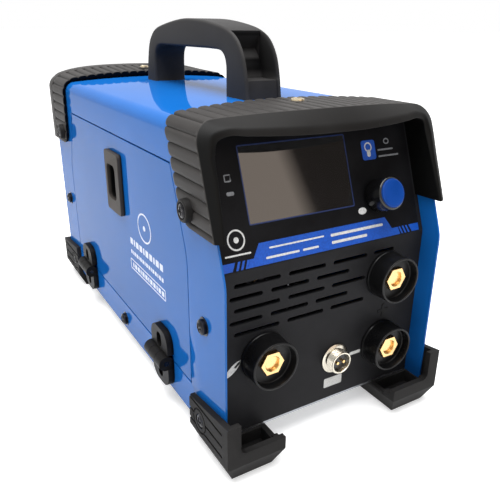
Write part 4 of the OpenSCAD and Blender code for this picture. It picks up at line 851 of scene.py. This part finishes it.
# ---- knob ----
def knob():
    """A turned body, slightly narrower in front, with fine flutes round its side, and a domed blue cap."""
    base = OVERLAY_T + 1.2
    middle = np.array([KNOB_X, lean_y(PANEL_Y, KNOB_Z), KNOB_Z])
    foot = middle + LEAN_OUT * base
    body = soft_profile(
        [(AXIS_R, 0), (10.5, 0), (10.4, 13.5), (9.15, 13.9), (9.1, 13.2), (AXIS_R, 13.2)],
        [0, 0.4, 1, 0, 0, 0],
    )
    grid = turned(body, foot, LEAN_OUT, 144, start=(1, 0, 0))
    flute = 1 - 0.012 * (0.5 - 0.5 * np.cos(FLUTES * round_angles(144)))
    along = (grid - middle) @ LEAN_OUT
    spine = middle + along[..., None] * LEAN_OUT
    side = ((along > base + 1) & (along < base + 12.4))[..., None]
    grid = np.where(side, spine + (grid - spine) * flute[None, :, None], grid)
    skin("knob_body", [grid], "black_gloss", "black_plastic", "knob", body="knob", sharp=40)
    r = KNOB_CAP_R
    cap = soft_profile(
        [(AXIS_R, 12.9), (r, 12.9), (r, 14.6), (r - 0.8, 15.1), (5, 15.35), (AXIS_R, 15.4)],
        [0, 0, 0.5, 0.6, 2, 0],
    )
    grid = turned(cap, foot, LEAN_OUT, 72, start=(1, 0, 0))
    skin("knob_disc", [grid], "blue_plastic", "blue_plastic", "knob_cap", body="knob", sharp=50)


knob()

# ---- sockets ----
SOCKETS = ((-46.5, 66), (47.5, 99.5), (48, 48.5))


def sockets():
    """Collars: a turned cup with a rolled rim and a step at its foot. Inserts: a hexagonal brass head with a
    bored sleeve behind it."""
    edge, floor = 15.6, 9.0
    collar = soft_profile(
        [(AXIS_R, -4), (10.6, -4), (10.6, 0), (16, 0), (16, 1.6), (edge, 2.2), (edge, 14.9)]
        + [(RECESS_R, 14.9), (RECESS_R - 0.3, 9.2), (8.6, floor), (AXIS_R, floor)],
        [0, 0, 0, 0.3, 0.3, 0.3, 0.6, 0.5, 0.8, 0, 0],
        5,
    )
    a = round_angles(48)
    hexagon = (math.cos(math.pi / 6) / np.cos(a % (math.pi / 3) - math.pi / 6))[:, None]
    head = ((8.2, 9.05), (8.2, 10.5), (7.9, 10.95))
    bore = ((5.2, 11), (4.75, 10.6), (4.7, 9.4), (4.62, 9.2), (4.62, -5), (AXIS_R, -5))

    def insert(origin):
        rows = []
        for r, h in head:
            circle = turned([(r, 0)], origin, FORWARD)[0] - origin
            rows.append(origin + FORWARD * h + circle * hexagon)
        return np.concatenate([np.stack(rows), turned(bore, origin, FORWARD)])

    origins = [np.array([x, PANEL_Y, z]) for x, z in SOCKETS]
    cups = [turned(collar, origin, FORWARD, 96) for origin in origins]
    skin("socket_cups", cups, "collar_plastic", "black_gloss", "socket_collars", sharp=45)
    heads = [insert(origin) for origin in origins]
    skin("socket_brasses", heads, "brass", "brass", "socket_inserts", sharp=30)


sockets()


def connector():
    """Control connector: a flange and a threaded ring whose ridges follow a cosine."""
    h = np.linspace(2.2, 7.6, 55)
    ridge = 7.78 + 0.22 * np.cos(h * 2 * np.pi / THREAD_PITCH)
    foot = [(AXIS_R, -6), (7.4, -6), (7.4, 0), (10, 0)]
    foot += [(10.5, 0.4), (10.5, 1.3), (9.9, 1.8), (8.3, 1.9)]
    rim = [(7.6, 8.1), (7.2, 8.3), (6.7, 8.2), (6.5, 7.8), (6.5, 3), (AXIS_R, 3)]
    grid = turned(np.concatenate([foot, np.stack([ridge, h], -1), rim]), (9.3, PANEL_Y, 46.7), FORWARD, 72)
    skin("connector_ring", [grid], "nickel", "nickel", "connector_shell", sharp=50)


connector()


# ---- screws ----
def dome_screw(origin, axis, r, h, washer=0):
    """Domed head: its height falls with the square of the radius, and a cross is sunk in its middle."""
    axis, side, other = axes(axis, [0, 0.3, 0.95])
    a = round_angles(48)
    dome = np.linspace(0.92, 0.02, 16)
    radii = np.concatenate([[r + washer, r + washer, r + washer * 0.9, r, r, r * 0.98], r * dome])[:, None]
    foot = [0, washer * 0.3, washer * 0.4, washer * 0.4, h * 0.45, h * 0.6]
    level = np.concatenate([foot, h * (1 - 0.42 * dome**2)])[:, None]
    u = radii * np.cos(a)
    v = radii * np.sin(a)
    arm = np.minimum(np.abs(u), np.abs(v))
    reach = np.maximum(np.abs(u), np.abs(v))
    sunk = 1 - smoothstep((arm - 0.10 * r) / (0.10 * r))
    sunk = sunk * (1 - smoothstep((reach - 0.5 * r) / (0.16 * r)))
    level = level - sunk * np.where(radii < 0.9 * r, 0.9, 0)
    return np.asarray(origin, float) + u[..., None] * side + v[..., None] * other + level[..., None] * axis


def screws():
    """All visible screws, each on the surface that it holds."""
    seat = HALF_W + HOOD_ALL + HOOD_BOSS_H - HOOD_SEAT_D - 0.05
    for kind, off, size, places in (
        ("case", HALF_W, (4.7, 4, 1.1), ((FRONT_Y + 25.5, 89.5), (0, 24), (REAR_Y - 24, 89.5))),
        ("hood", seat, (HOOD_SCREW_R, 2.2), ((FRONT_SCREW_Y, HOOD_SCREW_Z), (BACK_SCREW_Y, HOOD_SCREW_Z))),
        ("foot", HALF_W + 2, (4.2, 2.9), ((26.5 - REAR_Y, 23.5), (REAR_Y - 26.5, 23.5))),
    ):
        heads = [dome_screw((side * off, y, z), (side, 0, 0), *size) for side in (-1, 1) for y, z in places]
        skin(kind + "_screw_heads", heads, "black_steel", "black_steel", kind + "_screws", sharp=40)
    tops = [
        dome_screw((0, y, TOP_Z + HOOD_ALL + rise + 0.05), UP, 4.2, 1.9)
        for y, rise in ((TOP_SCREW_Y, 0), (REAR_SCREW_Y, REAR_RISE))
    ]
    skin("top_screw_heads", tops, "pale_brass", "brass", "hood_top_screws", sharp=40)


screws()


# ---- tension spring, choke, wound wire ----
def node_box(node):
    """Lowest corner, highest corner and middle of a node, in millimetres."""
    low, high = (np.array(c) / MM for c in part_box(node))
    return low, high, (low + high) / 2


def spring():
    """Tension spring: rings of points carried up a helix between the ends of its node."""
    low, high, mid = node_box("tension_spring")
    wire, turns = 0.65, 6.5
    z0, z1 = low[2] + 0.7, high[2] - 0.7
    t = np.linspace(0, 1, int(turns * 22) + 1)
    a = 2 * np.pi * turns * t
    out = np.stack([np.cos(a), np.sin(a), np.zeros_like(a)], -1)
    spine = np.array([mid[0], mid[1], 0]) + (min(high[0] - low[0], high[1] - low[1]) / 2 - 0.7) * out
    spine[:, 2] = z0 + (z1 - z0) * t
    b = round_angles(8)[:, None]
    grid = spine[:, None] + wire * (np.cos(b) * out[:, None] + np.sin(b) * UP)
    body = NODES["tension_spring"]["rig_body"]
    obj = skin("tension_coil", [grid], "steel", "steel", "tension_spring", body=body, sharp=60)
    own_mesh(obj)


def wound(name, grid, body, finish, slot, node):
    """A piece whose section closes on itself, its last row being its first."""
    grid = np.concatenate([grid, grid[:1]])
    skin(name, [grid], finish, slot, node, body=body, sharp=60, caps=False)


def choke():
    """Output choke: a ring whose section swells and shrinks with every turn of wire."""
    low, high, mid = node_box("output_choke")
    thick = (high[2] - low[2]) / 2
    ring = (high[0] - low[0]) / 2 - thick
    a = round_angles(432)[:, None]
    b = round_angles(28)
    swell = thick - 1.0 + np.abs(np.cos(24 * a))
    r = ring + swell * np.cos(b)
    grid = np.stack([mid[0] + r * np.cos(a), mid[1] + r * np.sin(a), mid[2] + swell * np.sin(b)], -1)
    body = NODES["output_choke"]["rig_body"]
    wound("choke_turns", grid, body, "copper", "copper_winding", "output_choke")


def wound_wire():
    """Wire on the spool: turns side by side, the outer layer's bumps a rectified sine."""
    low, high, mid = node_box("wound_wire")
    r = (high[2] - low[2]) / 2
    x = np.linspace(low[0], high[0], 240)
    turns = (high[0] - low[0]) / WIRE_PITCH
    height = r - 0.8 + 0.8 * np.abs(np.sin(np.pi * turns * (x - low[0]) / (high[0] - low[0])))
    profile = np.concatenate([[(9, low[0])], np.stack([height, x], -1), [(9, high[0])]])
    grid = turned(profile, (0, mid[1], mid[2]), (1, 0, 0), 96)
    wound("wire_layers", grid, "spool", "copper_wire", "copper_wire", "wound_wire")


spring()
choke()
wound_wire()


# ---- printed marks ----
def slope_plate(points, lift=INK_T):
    """Thin plate of ink on the leaning overlay, from (x, z) corners."""
    x, z = np.asarray(points, float).T
    return np.stack([on_slope(x, z, h) for h in (0, lift)])


def face_plate(points, lift=FACE_INK_T):
    """Thin plate of ink on the upright panel, from (x, z) corners."""
    x, z = np.asarray(points, float).T
    return np.stack([np.stack([x, np.full_like(x, PANEL_Y - h), z], -1) for h in (INK_SINK, lift)])


def door_plate(points, lift=INK_T):
    """Thin plate of ink on the door, from (y, z) corners."""
    y, z = np.asarray(points, float).T
    return np.stack([np.stack([np.full_like(y, -HALF_W - h), y, z], -1) for h in (INK_SINK, lift)])


def bar(x0, x1, z0, z1, r=0.5):
    """Corners of an upright rectangle with small round corners."""
    return rounded_box(x1 - x0, z1 - z0, r) + [(x0 + x1) / 2, (z0 + z1) / 2]


def oval(x, z, rx, rz, count=32):
    """Corners of an oval."""
    a = round_angles(count)
    return np.stack([x + rx * np.cos(a), z + rz * np.sin(a)], -1)


def dashes(x0, x1, z0, z1, long, gap):
    """A row of plain dashes, every third one half as long."""
    out, x, k = [], x0, 0
    while x + long * 0.5 <= x1:
        end = min(x + long * (0.5 if k % 3 == 2 else 1), x1)
        out.append(bar(x, end, z0, z1, 0.35))
        x, k = end + gap, k + 1
    return out


def flat_ring(put, outer, inner, lift):
    """Flat ring of ink between two outlines, as one closed grid."""
    outer, inner = put(outer, lift), put(inner, lift)
    rows = np.stack([outer[0], outer[1], inner[1], inner[0]], 1)
    return np.concatenate([rows, rows[:1]])


def hoop(put, x, z, rx, rz, line, lift=INK_T):
    """Oval ring of ink, a line wide."""
    return flat_ring(put, oval(x, z, rx, rz, 40), oval(x, z, rx - line, rz - line, 40), lift)


def frame_of(put, x0, x1, z0, z1, line, r, lift=INK_T):
    """Frame of ink round a rectangle, a line wide."""
    inner = bar(x0 + line, x1 - line, z0 + line, z1 - line, max(r - line, 0.2))
    return flat_ring(put, bar(x0, x1, z0, z1, r), inner, lift)


def overlay_prints():
    """Marks on the leaning overlay: a band with slanted stripes, a line round the display, rings and bars."""
    top, mid, low = 137.2, 129.8, 125.3
    band = [(-57.6, low), (57.8, low), (56.4, mid), (51.2, mid)]
    band += [(46.6, top), (-48.2, top), (-53, mid), (-55.4, mid)]
    blue = [
        [(-74.6, low), (-67.4, low), (-65, mid), (-74.6, mid)],
        band,
        [(68.2, low), (74.6, low), (74.6, mid), (66, mid)],
        bar(36.4, 47.6, 172.4, 184, 1.6),
    ]
    stripes = []
    for k in range(3):
        for x, wide, slant in ((-65.2 + 3.0 * k, 1.5, 2.1), (59.0 + 2.9 * k, 1.4, -1.9)):
            stripes.append([(x, low), (x + wide, low), (x + wide + slant, mid), (x + slant, mid)])
    white = [
        slope_plate(oval(29.4, 143.4, 3.3, 2)),
        hoop(slope_plate, -62, 141, 5.6, 5.6, 0.9),
        slope_plate(oval(-62, 141, 1.6, 1.6)),
        slope_plate(bar(-70.5, -54, 132.8, 133.7, 0.4)),
        hoop(slope_plate, 41.8, 180, 3, 2.8, 0.8, OVER_INK_T),
    ]
    for piece in (
        (40.4, 43.2, 174.2, 178.4, 1.2), (-42, -3, 133.2, 134.1, 0.4), (-45, -22, 128, 129.2, 0.5),
        (-19.5, -8, 128, 129.2, 0.5), (2, 44, 132.4, 134, 0.7), (2, 30, 128.2, 129.8, 0.7),
    ):
        white.append(slope_plate(bar(*piece), OVER_INK_T))
    grey = [
        slope_plate(bar(49.5, 62.5, 177, 178, 0.4)),
        slope_plate(bar(49.5, 66.5, 173.2, 174.2, 0.4)),
        hoop(slope_plate, 57.6, 182.3, 2.3, 1.8, 0.7),
        frame_of(slope_plate, -63, -58.8, 171, 175, 0.7, 0.7),
        slope_plate(bar(-63, -58.2, 163.9, 165.9, 0.9)),
    ]
    line = frame_of(slope_plate, -52.2, 24, 147, 189.2, 0.7, 1, FACE_INK_T)
    skin("overlay_blue", [slope_plate(p) for p in blue], "ink_blue", "overlay_film")
    skin("display_line", [line], "ink_dark", "overlay_film", caps=False)
    skin("overlay_stripes", [slope_plate(p) for p in stripes], "ink_blue", "overlay_film")
    skin("overlay_white", white, "ink_white", "overlay_film")
    skin("overlay_grey", grey, "ink_grey", "overlay_film")


def panel_prints():
    """Marks on the upright panel: a near-black cross of painted groove shade, two bars, and a slanted oval
    with a bar.
    """
    long, short = 4.6, 1.0
    quarter = np.array([(-short, -long), (short, -long), (short, -short)])
    cross = np.concatenate([quarter @ [[c, d], [-d, c]] for c, d in ((1, 0), (0, 1), (-1, 0), (0, -1))])
    # painted shade: the cross is a near-black plate for the shade in a groove
    cross = face_plate(cross + [49.3, 71.8], CROSS_T)
    skin("polarity_mark", [cross], "groove_shade_plate", "black_panel")
    c, d = math.cos(math.radians(42)), math.sin(math.radians(42))
    spin = np.array([[c, d], [-d, c]])
    marks = [bar(2.2, 17.2, 24.6, 31.6, 0.8), bar(22.6, 32, 43.8, 46.2, 0.8)]
    marks.append(oval(0, 0, 6.6, 2.2) @ spin + [-67.6, 62.6])
    marks.append(bar(-5, 5, -0.8, 0.8, 0.7) @ spin + [-62.6, 66.6])
    skin("panel_marks", [face_plate(p) for p in marks], "ink_white", "overlay_film")


def door_prints():
    """Marks on the door: a ring with a dot, rows of dashes, and a frame round the last row."""
    plain = [hoop(door_plate, -58, 121, 12.6, 10.6, 1.2), door_plate(oval(-58, 121, 2.2, 1.9))]
    for z0, z1, long, gap in ((100.4, 105.2, 5.2, 2), (92.6, 95.6, 3.2, 1.3), (82, 85.6, 4.2, 1.6)):
        plain += [door_plate(b) for b in dashes(-89, -27, z0, z1, long, gap)]
    plain.append(frame_of(door_plate, -91.5, -24.5, 79.8, 88, 0.8, 1.2))
    skin("door_marks", plain, "door_white", "blue_paint", body="door")


overlay_prints()
panel_prints()
door_prints()

# ---- nodes that keep their own mesh ----
KEEP = {
    "zinc": ("base_chassis", "divider_plate"),
    "steel": ("display_module", "encoder", "encoder_shaft", "feed_motor", "drive_roll", "pressure_roll"),
    "black_steel": ("hinge_pins",),
    "brass": ("connector_pins", "wire_guides"),
    "alloy": ("heatsink",),
    "dark_alloy": ("feeder_plate", "spool_hub"),
    "black_plastic": ("socket_nuts", "fan_frame", "fan_rotor", "cable_gland", "tension_knob", "spool_nut"),
    "black_gloss": ("connector_insert", "switch_housing"),
    "latch_plastic": ("latch_slide",),
    "red_plastic": ("switch_rocker", "pressure_arm"),
    "white_plastic": ("wire_spool",),
    "overlay_film": ("panel_overlay",),
    "display_glass": ("display_lens",),
    "board": ("control_board", "power_board"),
    "ferrite": ("transformer_core",),
    "winding_tape": ("transformer_winding",),
    "sleeve": ("capacitors",),
}
for finish, kept in KEEP.items():
    for node in kept:
        NODES[node].data.materials.clear()
        NODES[node].data.materials.append(FINISH[finish])
        NODES[node].material_slots[0].material = FINISH[finish]


# ---- studio ----
AMBIENT = 0.36
FLOOR_HALF = 30  # half width of the floor, in metres
SQUARE = ((-1, -1), (1, -1), (1, 1), (-1, 1))


def background_rays(tree):
    """One where the ray comes from the camera, a reflection or a transmission, else nought."""
    path = tree.nodes.new("ShaderNodeLightPath")
    total = path.outputs["Is Camera Ray"]
    for key in ("Is Glossy Ray", "Is Transmission Ray"):
        node = tree.nodes.new("ShaderNodeMath")
        node.operation = "MAXIMUM"
        tree.links.new(total, node.inputs[0])
        tree.links.new(path.outputs[key], node.inputs[1])
        total = node.outputs[0]
    return total


def lamp(name, where, size, power):
    """A square soft light turned towards the machine."""
    data = bpy.data.lights.new(name, "AREA")
    data.shape = "RECTANGLE"
    data.size, data.size_y = size, size
    data.energy = power
    obj = added(name, data)
    obj.location = where
    obj.rotation_mode = "QUATERNION"
    obj.rotation_quaternion = (Vector((0, 0, 0.1)) - Vector(where)).to_track_quat("-Z", "Y")


def sheet(name, corners, finish):
    """A four-cornered sheet of the studio."""
    mesh = bpy.data.meshes.new(name)
    mesh.from_pydata(corners, [], [(0, 1, 2, 3)])
    mesh.materials.append(finish)
    obj = added(name, mesh)
    return obj


def studio():
    """A white world and a pale floor round the machine, and three soft lights."""
    world = bpy.data.worlds.new("studio")
    bpy.context.scene.world = world
    world.use_nodes = True
    tree = world.node_tree
    background = tree.nodes["Background"]
    strength = tree.nodes.new("ShaderNodeMapRange")
    tree.links.new(background_rays(tree), strength.inputs["Value"])
    strength.inputs["To Min"].default_value = AMBIENT
    tree.links.new(strength.outputs[0], background.inputs["Strength"])
    background.inputs["Color"].default_value = (1, 1, 1, 1)

    m = Mix("floor_white", Roughness=0.9, Specular_IOR_Level=0.1)
    m.colour(m.blend(m.span(m.noise(3, 2), 0.3, 0.7), (0.80, 0.80, 0.80, 1), (0.84, 0.84, 0.84, 1)))
    away = m.add("ShaderNodeVectorMath", i0=m.where)
    away.operation = "LENGTH"
    far = m.span(away.outputs["Value"], 0.35, 1.8, 0.42, 0.7)
    m.glow((1, 1, 1, 1), m.product(background_rays(m.tree), far))
    sheet("floor", [(x * FLOOR_HALF, y * FLOOR_HALF, 0) for x, y in SQUARE], m.material)

    lamp("top_softbox", (-0.2, -0.1, 1.7), 1.6, 60)
    lamp("left_softbox", (-1.5, -0.5, 0.8), 1.2, 0.6)
    lamp("front_softbox", (0.2, -1.6, 0.9), 1, 4)


def window_card():
    """A card that only reflections see: warm on one side, fading to near black on the other."""
    centre = np.array([0.40, -0.90, 0.40])
    side = np.array([0.87, 0.49, 0])
    m = Mix("card_light", Roughness=1, Specular_IOR_Level=0)
    m.shader.inputs["Base Color"].default_value = (0, 0, 0, 1)
    m.glow(linear((224, 208, 194)), m.span(m.axis(0), 0.485, 0.52, 1.7, 0.12))
    half_w, half_h = 0.75, 0.5
    corners = [tuple(centre + x * half_w * side + z * half_h * UP) for x, z in SQUARE]
    card = sheet("window_card", corners, m.material)
    for kind in ("camera", "diffuse", "shadow", "transmission"):
        setattr(card, "visible_" + kind, False)


studio()
window_card()


def camera():
    """Camera: az and el give its direction, then it rolls a little about its own axis."""
    az, el, roll = (math.radians(a) for a in (-30.9, 21.8, 0.57))
    forward = Vector((-math.sin(az) * math.cos(el), math.cos(az) * math.cos(el), -math.sin(el)))
    right = forward.cross(Vector((0, 0, 1))).normalized()
    up = right.cross(forward)
    r = right * math.cos(roll) + up * math.sin(roll)
    u = up * math.cos(roll) - right * math.sin(roll)
    data = bpy.data.cameras.new("camera")
    data.sensor_width = 36
    data.lens = 40.3
    obj = added("camera", data)
    turn = Matrix((r, u, -forward)).transposed().to_4x4()
    obj.matrix_world = Matrix.Translation((-0.2030, -0.4048, 0.2505)) @ turn
    bpy.context.scene.camera = obj


camera()
bpy.context.scene.view_settings.view_transform = "Standard"
